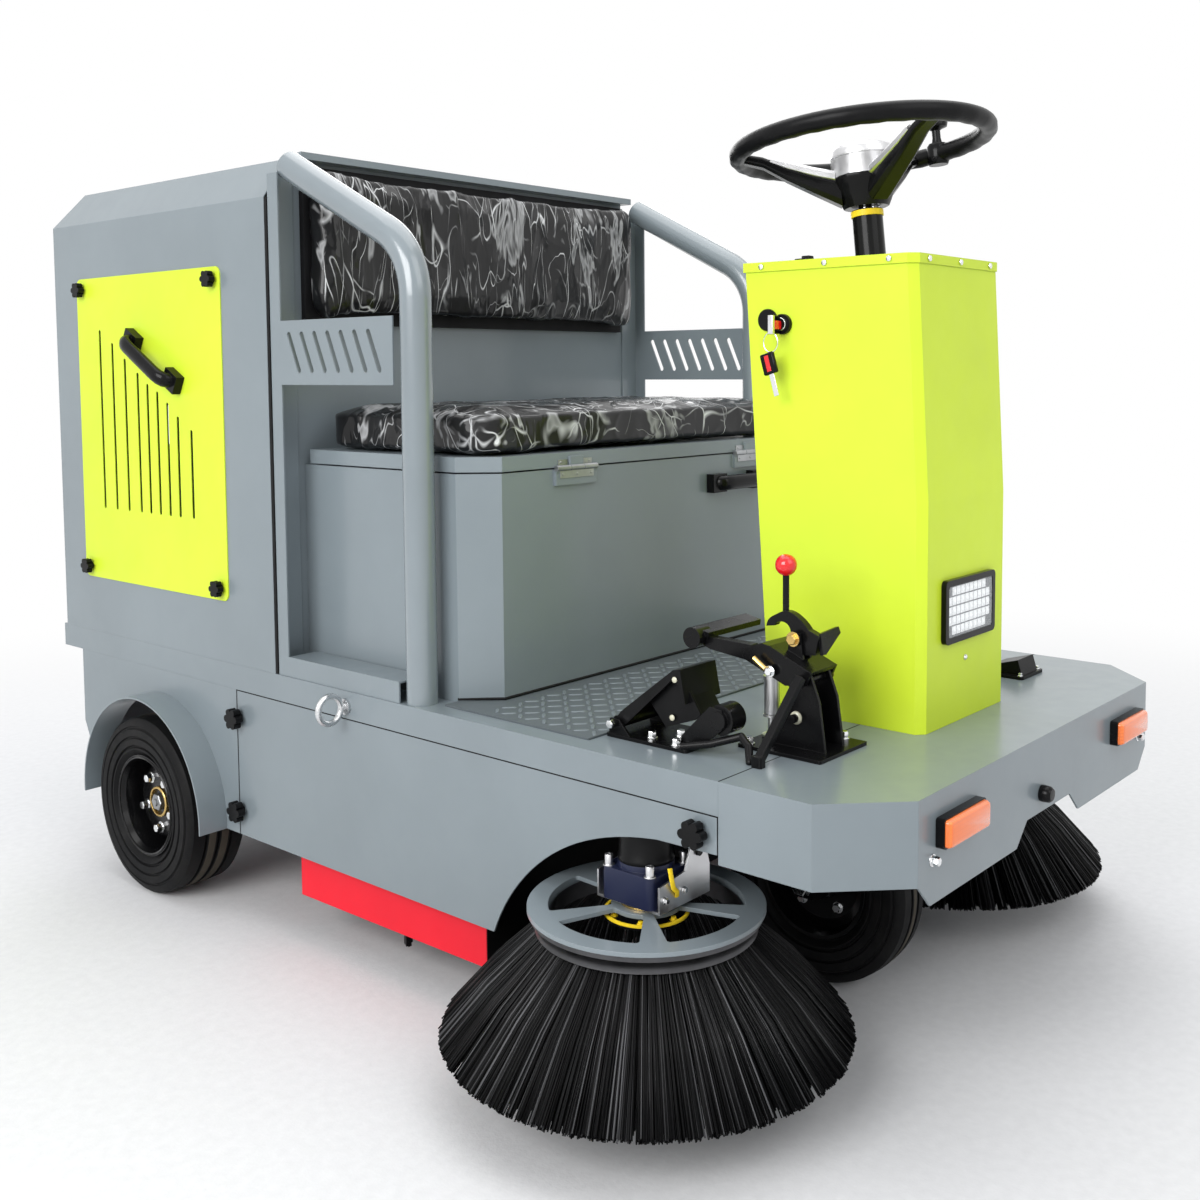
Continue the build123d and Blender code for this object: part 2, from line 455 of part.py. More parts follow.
def revolve_on_x(points, centre_y, centre_z, mode=Mode.ADD, corners=(), corner_r=0.0):
    """Turn an (x, radius) outline about the wheel axis through centre_y, centre_z."""
    plane = Plane(origin=(0, centre_y, centre_z), x_dir=(1, 0, 0), z_dir=(0, -1, 0))
    with BuildSketch(plane) as section:
        with BuildLine():
            Polyline(*points, close=True)
        make_face()
        if corner_r:
            picked = [v for v in section.vertices()
                      if any(abs(plane.to_local_coords(v).Y - r) < 0.6 for r in corners)]
            fillet(picked, corner_r)
    revolve(section.sketch, axis=Axis((0, centre_y, centre_z), (1, 0, 0)), mode=mode)


def tyre_outline(x_out, x_in, bead_r):
    """Half section of a low solid-looking tyre, from its outer to its inner sidewall."""
    step = 1 if x_in > x_out else -1
    return [(x_out + step * 10, bead_r), (x_out + step * 10, bead_r + 6), (x_out, bead_r + 26),
            (x_out, TYRE_R - 20), (x_out + step * 9, TYRE_R), (x_in - step * 9, TYRE_R),
            (x_in, TYRE_R - 20), (x_in, bead_r + 26), (x_in - step * 10, bead_r + 6),
            (x_in - step * 10, bead_r)]


def rim_outline(x_out, x_in, disc_x, hub_r, hub_out):
    """Half section of the dished wheel: flange, barrel, deep disc and hub boss."""
    return [(x_out + 9, RIM_R + 5), (x_out + 6, RIM_R + 3), (x_out + 6, RIM_R - 3), (x_out + 16, RIM_R - 7),
            (disc_x - 8, RIM_R - 9), (disc_x - 3, 70), (disc_x - 3, hub_r + 4), (disc_x - hub_out, hub_r),
            (disc_x - hub_out, AXLE_R + HUB_GAP), (x_in - 12, AXLE_R + HUB_GAP), (x_in - 12, hub_r),
            (disc_x + 3, hub_r + 4), (disc_x + 3, 70), (disc_x + 6, RIM_R - 5.5), (x_in - 7, RIM_R - 5.5),
            (x_in - 6, RIM_R + 3), (x_in - 9, RIM_R + 5), (x_in - 9, RIM_R - HUB_GAP),
            (x_out + 9, RIM_R - HUB_GAP)]


for side, name in ((-1, "right"), (1, "left")):
    x_out = side * REAR_TYRE_OUT
    with BuildPart() as rear_tyre:
        revolve_on_x([(x, r) for x, r in tyre_outline(x_out, side * tyre_in, RIM_R)],
                     REAR_WHEEL_Y, TYRE_R, corners=(TYRE_R,), corner_r=TREAD_CORNER)
    save(rear_tyre, f"rear_tyre_{name}")
    outline = rim_outline(-REAR_TYRE_OUT, -tyre_in, -rim_disc_x, HUB_R, HUB_OUT)
    with BuildPart() as rear_rim:
        revolve_on_x([(-side * x, r) for x, r in outline], REAR_WHEEL_Y, TYRE_R)
    save(rear_rim, f"rear_rim_{name}")

# ================================================================ front wheel and fork
front_half_w = FRONT_TYRE_W / 2
with BuildPart() as front_tyre:
    revolve_on_x(tyre_outline(-front_half_w, front_half_w, RIM_R), FRONT_WHEEL_Y, TYRE_R,
                 corners=(TYRE_R,), corner_r=TREAD_CORNER)
save(front_tyre, "front_tyre")
with BuildPart() as front_rim:
    revolve_on_x(rim_outline(-front_half_w, front_half_w, -4, HUB_R, HUB_OUT), FRONT_WHEEL_Y, TYRE_R)
save(front_rim, "front_rim")

fork_in = front_half_w + FORK_GAP
crown_low = TYRE_R * 2 + CROWN_GAP
crown_top = crown_low + CROWN_T
with BuildPart() as front_fork:
    for sign in (-1, 1):
        near = sign * fork_in
        foot_low = TYRE_R - 2 * AXLE_R
        side_prism([(FRONT_WHEEL_Y - FORK_TOP, crown_low + 1), (FRONT_WHEEL_Y + FORK_TOP, crown_low + 1),
                    (FRONT_WHEEL_Y + FORK_FOOT, foot_low + FORK_CUT + 4),
                    (FRONT_WHEEL_Y + FORK_FOOT - FORK_CUT, foot_low),
                    (FRONT_WHEEL_Y - FORK_FOOT + FORK_CUT, foot_low),
                    (FRONT_WHEEL_Y - FORK_FOOT, foot_low + FORK_CUT + 4)],
                   near, near + sign * FORK_PLATE)
    block(-fork_in - FORK_PLATE, fork_in + FORK_PLATE, FRONT_WHEEL_Y - FORK_TOP, FRONT_WHEEL_Y + FORK_TOP,
          crown_low, crown_top, radius=6)
    # kingpin in the head tube
    rod((0, FRONT_WHEEL_Y, crown_top - 1), (0, FRONT_WHEEL_Y, deck_under - 10), HEAD_BORE - HUB_GAP)
    rod((0, FRONT_WHEEL_Y, crown_top - 1), (0, FRONT_WHEEL_Y, rail_low - HEAD_DROP - 1.0), HEAD_R)
    rod((-fork_in - FORK_PLATE - 8, FRONT_WHEEL_Y, TYRE_R), (fork_in + FORK_PLATE + 8, FRONT_WHEEL_Y, TYRE_R),
        AXLE_R)
save(front_fork, "front_fork")

# ================================================================ hood, side windows and louvre panels
hood_half = CHASSIS_HALF


def hood_section(inset):
    """(x, z) section of the hood: upright sides and roof edges sloped inward."""
    rise = HOOD_TOP_Z - HOOD_SIDE_Z
    lean = atan2(HOOD_INSET, rise)
    half = hood_half - inset
    knee = HOOD_SIDE_Z - inset * tan(lean / 2)
    top_half = hood_half - HOOD_INSET - inset * tan((radians(90) - lean) / 2)
    return [(-half, DECK_Z), (-half, knee), (-top_half, HOOD_TOP_Z - inset), (top_half, HOOD_TOP_Z - inset),
            (half, knee), (half, DECK_Z)]


def hood_body(inset, front_y, mode):
    """The hood as a prism, its rear roof edge sloped like the sides."""
    front_prism(hood_section(inset), front_y, HOOD_REAR_Y - inset, mode=mode)


with BuildPart() as hood_outer:
    hood_body(0, HOOD_FRONT_Y, Mode.ADD)
    side_prism([(HOOD_REAR_Y + 1, HOOD_SIDE_Z), (HOOD_REAR_Y + 1, HOOD_TOP_Z + 1),
                (HOOD_REAR_Y - HOOD_INSET - 1, HOOD_TOP_Z + 1), (HOOD_REAR_Y, HOOD_SIDE_Z)],
               -hood_half - 1, hood_half + 1, mode=Mode.SUBTRACT)
with BuildPart() as hood_inner:
    hood_body(THIN, HOOD_FRONT_Y - 1, Mode.ADD)
    side_prism([(HOOD_REAR_Y + 1, HOOD_SIDE_Z - THIN), (HOOD_REAR_Y + 1, HOOD_TOP_Z + 1),
                (HOOD_REAR_Y - HOOD_INSET - THIN - 1, HOOD_TOP_Z + 1),
                (HOOD_REAR_Y - THIN, HOOD_SIDE_Z - THIN)],
               -hood_half - 1, hood_half + 1, mode=Mode.SUBTRACT)
with BuildPart() as hood_shell:
    add(hood_outer.part)
    add(hood_inner.part, mode=Mode.SUBTRACT)
    # window behind each louvre panel
    with BuildSketch(Plane.YZ.offset(-hood_half - 1)) as window:
        with Locations(((PANEL_REAR_Y + PANEL_FRONT_Y) / 2, (PANEL_LOW_Z + PANEL_HIGH_Z) / 2)):
            RectangleRounded(PANEL_REAR_Y - PANEL_FRONT_Y - 2 * LOUVRE_OPEN,
                             PANEL_HIGH_Z - PANEL_LOW_Z - 2 * LOUVRE_OPEN, PANEL_CORNER)
    extrude(window.sketch, amount=2 * hood_half + 2, mode=Mode.SUBTRACT)
    # opening behind the rear cover
    half, low, high = COVER_HALF - COVER_LAP, COVER_LOW + COVER_LAP, COVER_HIGH - COVER_LAP
    front_prism([(-half, low), (half, low), (half, high), (-half, high)],
                HOOD_REAR_Y - 20, HOOD_REAR_Y + 1, mode=Mode.SUBTRACT)
save(hood_shell, "hood_shell")

# ---- pressed cover over the air outlet at the back
with BuildPart() as rear_cover:
    with BuildSketch(Plane(origin=(0, HOOD_REAR_Y, (COVER_LOW + COVER_HIGH) / 2), x_dir=(-1, 0, 0),
                           z_dir=(0, 1, 0))) as foot:
        RectangleRounded(2 * COVER_HALF, COVER_HIGH - COVER_LOW, COVER_CORNER)
    extrude(foot.sketch, amount=COVER_RISE, taper=45)
    with BuildSketch(Plane(origin=(0, HOOD_REAR_Y, (COVER_LOW + COVER_HIGH) / 2), x_dir=(-1, 0, 0),
                           z_dir=(0, 1, 0))) as hollow:
        RectangleRounded(2 * COVER_HALF - 3 * THIN, COVER_HIGH - COVER_LOW - 3 * THIN, COVER_CORNER - THIN)
    extrude(hollow.sketch, amount=COVER_RISE - THIN, taper=45, mode=Mode.SUBTRACT)
    # slots in its outer face
    with BuildSketch(Plane(origin=(0, HOOD_REAR_Y + COVER_RISE - 4 * THIN, (COVER_LOW + COVER_HIGH) / 2),
                           x_dir=(-1, 0, 0), z_dir=(0, 1, 0))) as slots:
        with GridLocations(SLOT_PITCH, 0, SLOT_COUNT, 1):
            SlotOverall(SLOT_L, SLOT_W, rotation=90)
    extrude(slots.sketch, amount=10 * THIN, mode=Mode.SUBTRACT)
save(rear_cover, "rear_cover")

# ---- louvre panels: nine slots whose tops follow a slant, four star knobs and a bridge handle
with BuildPart() as louvre_panel:
    with BuildSketch(Plane.YZ.offset(-hood_half - PANEL_SHEET)) as sheet:
        with Locations(((PANEL_REAR_Y + PANEL_FRONT_Y) / 2, (PANEL_LOW_Z + PANEL_HIGH_Z) / 2)):
            RectangleRounded(PANEL_REAR_Y - PANEL_FRONT_Y, PANEL_HIGH_Z - PANEL_LOW_Z, PANEL_CORNER)
        for slot_y, length in LOUVRES:
            with Locations((slot_y, LOUVRE_LOW + length / 2)):
                SlotOverall(length, LOUVRE_W, rotation=90, mode=Mode.SUBTRACT)
    extrude(sheet.sketch, amount=PANEL_SHEET)
save_pair([louvre_panel], "louvre_panels")

with BuildPart() as panel_knobs:
    for knob_y in (PANEL_REAR_Y - PANEL_KNOB_INSET, PANEL_FRONT_Y + PANEL_KNOB_INSET):
        for knob_z in (PANEL_LOW_Z + PANEL_KNOB_INSET, PANEL_HIGH_Z - PANEL_KNOB_INSET):
            star_knob((-hood_half - PANEL_SHEET, knob_y, knob_z), -1, PANEL_KNOB_R, PANEL_KNOB_H)
save_pair([door_knobs, panel_knobs], "star_knobs")

with BuildPart() as panel_handle:
    handle_x = -hood_half - PANEL_SHEET
    (rear_y, rear_z), (front_y, front_z) = HANDLE_FEET
    along = Vector(0, front_y - rear_y, front_z - rear_z).normalized()
    with BuildLine() as path:
        FilletPolyline((handle_x, rear_y, rear_z),
                       (handle_x - HANDLE_RISE, rear_y + along.Y * 10, rear_z + along.Z * 10),
                       (handle_x - HANDLE_RISE, front_y - along.Y * 10, front_z - along.Z * 10),
                       (handle_x, front_y, front_z), radius=HANDLE_BEND)
    with BuildSketch(Plane(origin=(handle_x, rear_y, rear_z), z_dir=path.wire().tangent_at(0))) as grip:
        Circle(HANDLE_R)
    sweep(grip.sketch, path=path.wire(), transition=Transition.ROUND)
    for foot_y, foot_z in HANDLE_FEET:
        with BuildSketch(Plane(origin=(handle_x, foot_y, foot_z), x_dir=(0, 1, 0), z_dir=(-1, 0, 0))) as foot:
            Circle(HANDLE_FOOT_R)
        extrude(foot.sketch, amount=7)
    block(handle_x, handle_x + 60, rear_y - 60, rear_y + 60, rear_z - 60, rear_z + 60, mode=Mode.SUBTRACT)
    block(handle_x, handle_x + 60, front_y - 60, front_y + 60, front_z - 60, front_z + 60, mode=Mode.SUBTRACT)

# ================================================================ seat
def seat_plan(grow, rear_y):
    """Plan of the seat box and its lid, all front edges moved out by grow."""
    half = SEAT_HALF + grow
    cut = grow * tan(radians(22.5))
    return [(-half, rear_y), (-half, SEAT_FRONT_Y + SEAT_CHAMFER_Y - cut),
            (-SEAT_HALF + SEAT_CHAMFER_X - cut, SEAT_FRONT_Y - grow),
            (SEAT_HALF - SEAT_CHAMFER_X + cut, SEAT_FRONT_Y - grow),
            (half, SEAT_FRONT_Y + SEAT_CHAMFER_Y - cut), (half, rear_y)]


def plan_prism(points, low, high, mode=Mode.ADD):
    """Extrude an (x, y) outline from low to high."""
    with BuildSketch(Plane.XY.offset(low)) as plan:
        with BuildLine():
            Polyline(*points, close=True)
        make_face()
    extrude(plan.sketch, amount=high - low, mode=mode)


lid_rear = BULKHEAD_Y - LID_REAR_GAP
hinge_z = SEAT_BOX_TOP + LID_GAP / 2
hinge_y = SEAT_FRONT_Y - HINGE_R - 1.5
with BuildPart() as seat_box:
    plan_prism(seat_plan(0, BULKHEAD_Y), DECK_Z, SEAT_BOX_TOP)
    plan_prism(seat_plan(-THIN, BULKHEAD_Y - THIN), DECK_Z + THIN, SEAT_BOX_TOP + 1, mode=Mode.SUBTRACT)
    # flange turned in round the mouth
    plan_prism(seat_plan(0, BULKHEAD_Y), SEAT_BOX_TOP - THIN, SEAT_BOX_TOP)
    plan_prism(seat_plan(-FLANGE_W, BULKHEAD_Y - FLANGE_W), SEAT_BOX_TOP - 2 * THIN, SEAT_BOX_TOP + 1,
               mode=Mode.SUBTRACT)
    # fixed leaves and outer knuckles of the lid's two hinges
    for hinge_x in HINGE_X:
        block(hinge_x - HINGE_LEN / 2, hinge_x + HINGE_LEN / 2, hinge_y, SEAT_FRONT_Y,
              hinge_z - 6 - HINGE_LEAF, hinge_z - 6)
        for start in (hinge_x - HINGE_LEN / 2, hinge_x + HINGE_LEN / 6 + 0.5):
            end = start + HINGE_LEN / 3 - 0.5
            block(start, end, hinge_y - 1, SEAT_FRONT_Y, hinge_z - 7, hinge_z - 2)
            rod((start, hinge_y, hinge_z), (end, hinge_y, hinge_z), HINGE_R)
        rod((hinge_x - HINGE_LEN / 2, hinge_y, hinge_z), (hinge_x + HINGE_LEN / 2, hinge_y, hinge_z),
            HINGE_PIN_R)
save(seat_box, "seat_box")

with BuildPart() as battery_pack:
    block(-BATTERY_HALF, BATTERY_HALF, BATTERY_FRONT_Y, BATTERY_REAR_Y, DECK_Z + THIN,
          DECK_Z + THIN + BATTERY_H, radius=BATTERY_CORNER)
save(battery_pack, "battery_pack")

with BuildPart() as seat_lid:
    plan_prism(seat_plan(LID_GROW, lid_rear), SEAT_BOX_TOP + LID_GAP, LID_TOP)
    plan_prism(seat_plan(LID_GROW - THIN, lid_rear - THIN), SEAT_BOX_TOP + LID_GAP - 1, LID_TOP - THIN,
               mode=Mode.SUBTRACT)
    # moving leaves and middle knuckles of the hinges
    for hinge_x in HINGE_X:
        half = HINGE_LEN / 6 - 0.5
        rod((hinge_x - half, hinge_y, hinge_z), (hinge_x + half, hinge_y, hinge_z), HINGE_R)
        block(hinge_x - half, hinge_x + half, hinge_y - 1, SEAT_FRONT_Y - LID_GROW, hinge_z + 1,
              hinge_z + HINGE_R + 14)
        rod((hinge_x - half - 1, hinge_y, hinge_z), (hinge_x + half + 1, hinge_y, hinge_z),
            HINGE_PIN_R + HINGE_GAP, mode=Mode.SUBTRACT)
save(seat_lid, "seat_lid")

with BuildPart() as seat_cushion:
    half = SEAT_HALF - CUSHION_INSET
    block(-half, half, CUSHION_FRONT_Y, CUSHION_REAR_Y, LID_TOP + CUSHION_GAP, LID_TOP + CUSHION_H,
          radius=CUSHION_CORNER)
    fillet(seat_cushion.faces().sort_by(Axis.Z)[-1].edges(), CUSHION_CROWN)
save(seat_cushion, "seat_cushion")

with BuildPart() as back_board:
    block(-BACK_HALF - BACK_MARGIN, BACK_HALF + BACK_MARGIN, BULKHEAD_Y - BACK_BOARD, BULKHEAD_Y,
          BACK_LOW - 2 * BACK_MARGIN, BACK_HIGH + BACK_MARGIN + 2)
save(back_board, "back_board")
with BuildPart() as back_cushion:
    with BuildSketch(Plane.XZ.offset(-(BULKHEAD_Y - BACK_BOARD - CUSHION_GAP))) as pad:
        with Locations((0, (BACK_LOW + BACK_HIGH) / 2)):
            RectangleRounded(2 * BACK_HALF, BACK_HIGH - BACK_LOW, BACK_CORNER)
    extrude(pad.sketch, amount=BACK_THICK)
    fillet(back_cushion.faces().sort_by(Axis.Y)[0].edges(), CUSHION_CROWN)
save(back_cushion, "back_cushion")

# ---- wall behind the seat, closing the front of the hood
with BuildPart() as bulkhead:
    block(-BULK_HALF, BULK_HALF, BULKHEAD_Y, BULKHEAD_Y + THIN, DECK_Z, HOOD_SIDE_Z)
    plan_roof = [(-BULK_HALF, HOOD_SIDE_Z - 1), (-BULK_HALF + 40, HOOD_TOP_Z - 9),
                 (BULK_HALF - 40, HOOD_TOP_Z - 9), (BULK_HALF, HOOD_SIDE_Z - 1)]
    front_prism(plan_roof, BULKHEAD_Y, BULKHEAD_Y + THIN)
save(bulkhead, "bulkhead")

with BuildPart() as top_bar:
    # capping over the backrest, its rear foot standing on the wall in front of the roof
    side_prism([(BULKHEAD_Y - 30, HOOD_TOP_Z - 3), (BULKHEAD_Y - 30, HOOD_TOP_Z + 9),
                (HOOD_FRONT_Y, HOOD_TOP_Z + 6), (HOOD_FRONT_Y, HOOD_TOP_Z - 9), (BULKHEAD_Y, HOOD_TOP_Z - 9),
                (BULKHEAD_Y, HOOD_TOP_Z - 3)], -TOP_BAR_HALF, TOP_BAR_HALF)
save(top_bar, "top_bar")

# ---- side frames: bent hoop tube, rear post, slotted panel and foot rail
with BuildPart() as hoop:
    with BuildLine() as path:
        FilletPolyline((-HOOP_X, HOOP_FOOT_Y, DECK_Z), (-HOOP_X, HOOP_FOOT_Y, HOOP_KNEE_Z),
                       (-HOOP_X, HOOP_TOP_Y, HOOP_TOP_Z), radius=HOOP_BEND_R)
    with BuildSketch(Plane(origin=(-HOOP_X, HOOP_FOOT_Y, DECK_Z), z_dir=(0, 0, 1))) as tube:
        Circle(HOOP_R)
    sweep(tube.sketch, path=path.wire())
save_pair([hoop], "hoops")

with BuildPart() as side_post:
    # channel post: outer face, and a rear web that meets the wall behind the seat
    block(-BULK_HALF - SHEET, -BULK_HALF, POST_FRONT_Y, BULKHEAD_Y, DECK_Z, HOOD_TOP_Z - 30)
    block(-BULK_HALF, -BULK_HALF + POST_W, BULKHEAD_Y - SHEET, BULKHEAD_Y, DECK_Z, HOOD_TOP_Z - 30)

with BuildPart() as slot_panel:
    slot_rear, slot_front = POST_FRONT_Y, HOOP_FOOT_Y + HOOP_R
    with BuildSketch(Plane.YZ.offset(-BULK_HALF - SHEET)) as sheet:
        with BuildLine():
            Polyline((slot_rear, SLOT_PANEL_LOW), (slot_rear, SLOT_PANEL_HIGH), (slot_front, SLOT_PANEL_HIGH),
                     (slot_front, SLOT_PANEL_LOW), close=True)
        make_face()
        for index in range(SIDE_SLOTS):
            with Locations((POST_FRONT_Y - SIDE_SLOT_START - index * SIDE_SLOT_PITCH,
                            (SLOT_PANEL_LOW + SLOT_PANEL_HIGH) / 2)):
                SlotOverall(SIDE_SLOT_L, SIDE_SLOT_W, rotation=90 - SIDE_SLOT_LEAN, mode=Mode.SUBTRACT)
    extrude(sheet.sketch, amount=SHEET)

with BuildPart() as foot_rail:
    block(-BULK_HALF - SHEET, -BULK_HALF, slot_front, POST_FRONT_Y, DECK_Z, DECK_Z + FOOT_RAIL_H)
    block(-BULK_HALF, -SEAT_HALF - 5, slot_front, POST_FRONT_Y, DECK_Z + FOOT_RAIL_H - SHEET,
          DECK_Z + FOOT_RAIL_H)
save_pair([side_post, slot_panel, foot_rail], "side_frames")

# ================================================================ console and steering
def console_form(inset):
    """Console prism with its two front corners cut off, as the first piece of the current part."""
    half = CONSOLE_HALF - inset
    front = CONSOLE_FRONT_HIGH + inset
    side_prism([(CONSOLE_REAR_LOW - inset, DECK_Z), (CONSOLE_REAR_HIGH - inset, CONSOLE_TOP),
                (front, CONSOLE_TOP), (CONSOLE_FRONT_LOW + inset, CONSOLE_KNEE_Z),
                (CONSOLE_FRONT_LOW + inset, DECK_Z)], -half, half)
    chamfer([e for e in edges() if e.center().Y < front + 1 and abs(e.center().X) > half - 1],
            CONSOLE_CORNER)


def console_plan(grow):
    """Plan of the console's cap, all edges moved out by grow."""
    half = CONSOLE_HALF + grow
    front, rear = CONSOLE_FRONT_HIGH - grow, CONSOLE_REAR_HIGH + grow
    cut = CONSOLE_CORNER + grow * (1 - tan(radians(22.5)))
    return [(-half, rear), (-half, front + cut), (-half + cut, front), (half - cut, front),
            (half, front + cut), (half, rear)]


def on_steer_axis(height):
    """Point on the steering axis, height above the plane of the rim."""
    return (0, STEER_Y + steer_axis.Y * height, STEER_Z + steer_axis.Z * height)


with BuildPart() as console_outer:
    console_form(0)
with BuildPart() as console_inner:
    console_form(THIN)
with BuildPart() as console:
    add(console_outer.part)
    add(console_inner.part, mode=Mode.SUBTRACT)
    # opening behind the headlight
    front_prism([(-LAMP_HALF + LAMP_RIM, LAMP_Z - LAMP_HALF_H + LAMP_RIM),
                 (LAMP_HALF - LAMP_RIM, LAMP_Z - LAMP_HALF_H + LAMP_RIM),
                 (LAMP_HALF - LAMP_RIM, LAMP_Z + LAMP_HALF_H - LAMP_RIM),
                 (-LAMP_HALF + LAMP_RIM, LAMP_Z + LAMP_HALF_H - LAMP_RIM)],
                CONSOLE_FRONT_LOW - 1, CONSOLE_FRONT_LOW + THIN + 1, mode=Mode.SUBTRACT)
save(console, "console")

steer_axis = Vector(0, sin(radians(WHEEL_TILT)), cos(radians(WHEEL_TILT)))
column_foot = (CAP_TOP - STEER_Z) / steer_axis.Z
with BuildPart() as console_cap:
    plan_prism(console_plan(CAP_GAP + CAP_LIP_T), CAP_TOP - CAP_LIP, CAP_TOP)
    plan_prism(console_plan(CAP_GAP), CAP_TOP - CAP_LIP - 1, CONSOLE_TOP, mode=Mode.SUBTRACT)
    rod(on_steer_axis(column_foot - 20), on_steer_axis(column_foot + 20), COLUMN_R + 0.5, mode=Mode.SUBTRACT)
save(console_cap, "console_cap")

with BuildPart() as steering_column:
    rod(on_steer_axis(column_foot - 60), on_steer_axis(COLUMN_TOP), COLUMN_R)
    with Locations((0, on_steer_axis(column_foot)[1], CAP_TOP)):
        Cylinder(COLUMN_R + 10, 8, align=(Align.CENTER, Align.CENTER, Align.MIN))
    # neck that the wheel's hub turns on
    rod(on_steer_axis(COLUMN_TOP - 1), on_steer_axis(COLUMN_TOP + 30), NECK_R)
save(steering_column, "steering_column")

rim_plane = Plane(origin=on_steer_axis(0), x_dir=(1, 0, 0), z_dir=steer_axis)
with BuildPart() as steering_wheel:
    with BuildSketch(Plane(origin=on_steer_axis(0), x_dir=(1, 0, 0), z_dir=rim_plane.y_dir * -1)) as section:
        with Locations((STEER_RIM_R, 0)):
            Circle(STEER_RIM_TUBE)
    revolve(section.sketch, axis=Axis(on_steer_axis(0), tuple(steer_axis)))
    # tapered cup, drum and the three spokes
    with BuildSketch(rim_plane.offset(CUP_LOW)) as cup_low:
        Circle(CUP_LOW_R)
    with BuildSketch(rim_plane.offset(CUP_HIGH)) as cup_high:
        Circle(HUB_DRUM_R + 3)
    loft([cup_low.sketch.face(), cup_high.sketch.face()])
    rod(on_steer_axis(CUP_HIGH - 1), on_steer_axis(-4), HUB_DRUM_R)
    for angle in SPOKE_ANGLES:
        out = Vector(1, 0, 0) * cos(radians(angle)) + rim_plane.y_dir * sin(radians(angle))
        foot = Vector(*on_steer_axis(CUP_HIGH - 12)) + out * 40
        tip = Vector(*on_steer_axis(-5)) + out * (STEER_RIM_R - 6)
        spoke_plane = Plane(origin=foot, x_dir=steer_axis.cross(out), z_dir=tip - foot)
        with BuildSketch(spoke_plane) as root:
            RectangleRounded(*SPOKE_ROOT, SPOKE_CORNER)
        with BuildSketch(spoke_plane.offset((tip - foot).length)) as end:
            RectangleRounded(*SPOKE_END, SPOKE_CORNER)
        loft([root.sketch.face(), end.sketch.face()])
    rod(on_steer_axis(CUP_LOW - 1), on_steer_axis(COLUMN_TOP + 32), NECK_R + HUB_GAP, mode=Mode.SUBTRACT)
    # spinner knob clamped on the rim
    knob_out = Vector(1, 0, 0) * cos(radians(SPINNER_ANGLE)) + rim_plane.y_dir * sin(radians(SPINNER_ANGLE))
    knob_foot = Vector(*on_steer_axis(0)) + knob_out * STEER_RIM_R
    for low, high, radius in SPINNER:
        rod(tuple(knob_foot + steer_axis * low), tuple(knob_foot + steer_axis * high), radius)
save(steering_wheel, "steering_wheel")

# ---- lamps and switch
with BuildPart() as headlight:
    for front, back, shrink in ((-LAMP_PROUD, 0.0, 0.0), (-1.0, LAMP_DEPTH, LAMP_RIM + 1)):
        with BuildSketch(Plane(origin=(0, CONSOLE_FRONT_LOW + front, LAMP_Z), x_dir=(1, 0, 0),
                               z_dir=(0, -1, 0))) as outline:
            RectangleRounded(2 * (LAMP_HALF - shrink), 2 * (LAMP_HALF_H - shrink), 8)
        extrude(outline.sketch, amount=front - back)
    # the lens lies back inside its bezel
    with BuildSketch(Plane(origin=(0, CONSOLE_FRONT_LOW - LAMP_PROUD, LAMP_Z), x_dir=(1, 0, 0),
                           z_dir=(0, -1, 0))) as recess:
        RectangleRounded(2 * (LAMP_HALF - LAMP_RIM), 2 * (LAMP_HALF_H - LAMP_RIM), 5)
    extrude(recess.sketch, amount=-LENS_SET, mode=Mode.SUBTRACT)
save(headlight, "headlight")

with BuildPart() as marker_lamp:
    for rise_from, rise, shrink, taper in MARKER_STEPS:
        with BuildSketch(Plane(origin=(-MARKER_X, FRONT_Y - rise_from, MARKER_Z), x_dir=(1, 0, 0),
                               z_dir=(0, -1, 0))) as outline:
            RectangleRounded(2 * (MARKER_HALF - shrink), 2 * (MARKER_HALF_H - shrink), 4)
        extrude(outline.sketch, amount=rise, taper=taper)
save_pair([marker_lamp], "marker_lamps")

with BuildPart() as key_switch:
    for out_from, out_to, radius in KEY_STEPS:
        rod((-CONSOLE_HALF - out_from, KEY_Y, KEY_Z), (-CONSOLE_HALF - out_to, KEY_Y, KEY_Z), radius)
save(key_switch, "key_switch")

# ================================================================ things on the deck
with BuildPart() as tread_mat:
    # ribbed mat in front of the seat box, fitted round its cut corners
    rear = SEAT_FRONT_Y + SEAT_CHAMFER_Y
    corner = SEAT_HALF - SEAT_CHAMFER_X
    plan_prism([(-MAT_HALF, MAT_FRONT_Y), (-MAT_HALF, rear), (-SEAT_HALF - MAT_GAP, rear),
                (-corner, SEAT_FRONT_Y - MAT_GAP), (corner, SEAT_FRONT_Y - MAT_GAP),
                (SEAT_HALF + MAT_GAP, rear), (MAT_HALF, rear), (MAT_HALF, MAT_FRONT_Y)],
               DECK_Z, DECK_Z + MAT_H)
save(tread_mat, "tread_mat")

def lifted(points):
    """(y, height above the deck) pairs as (y, z)."""
    return [(y, DECK_Z + height) for y, height in points]


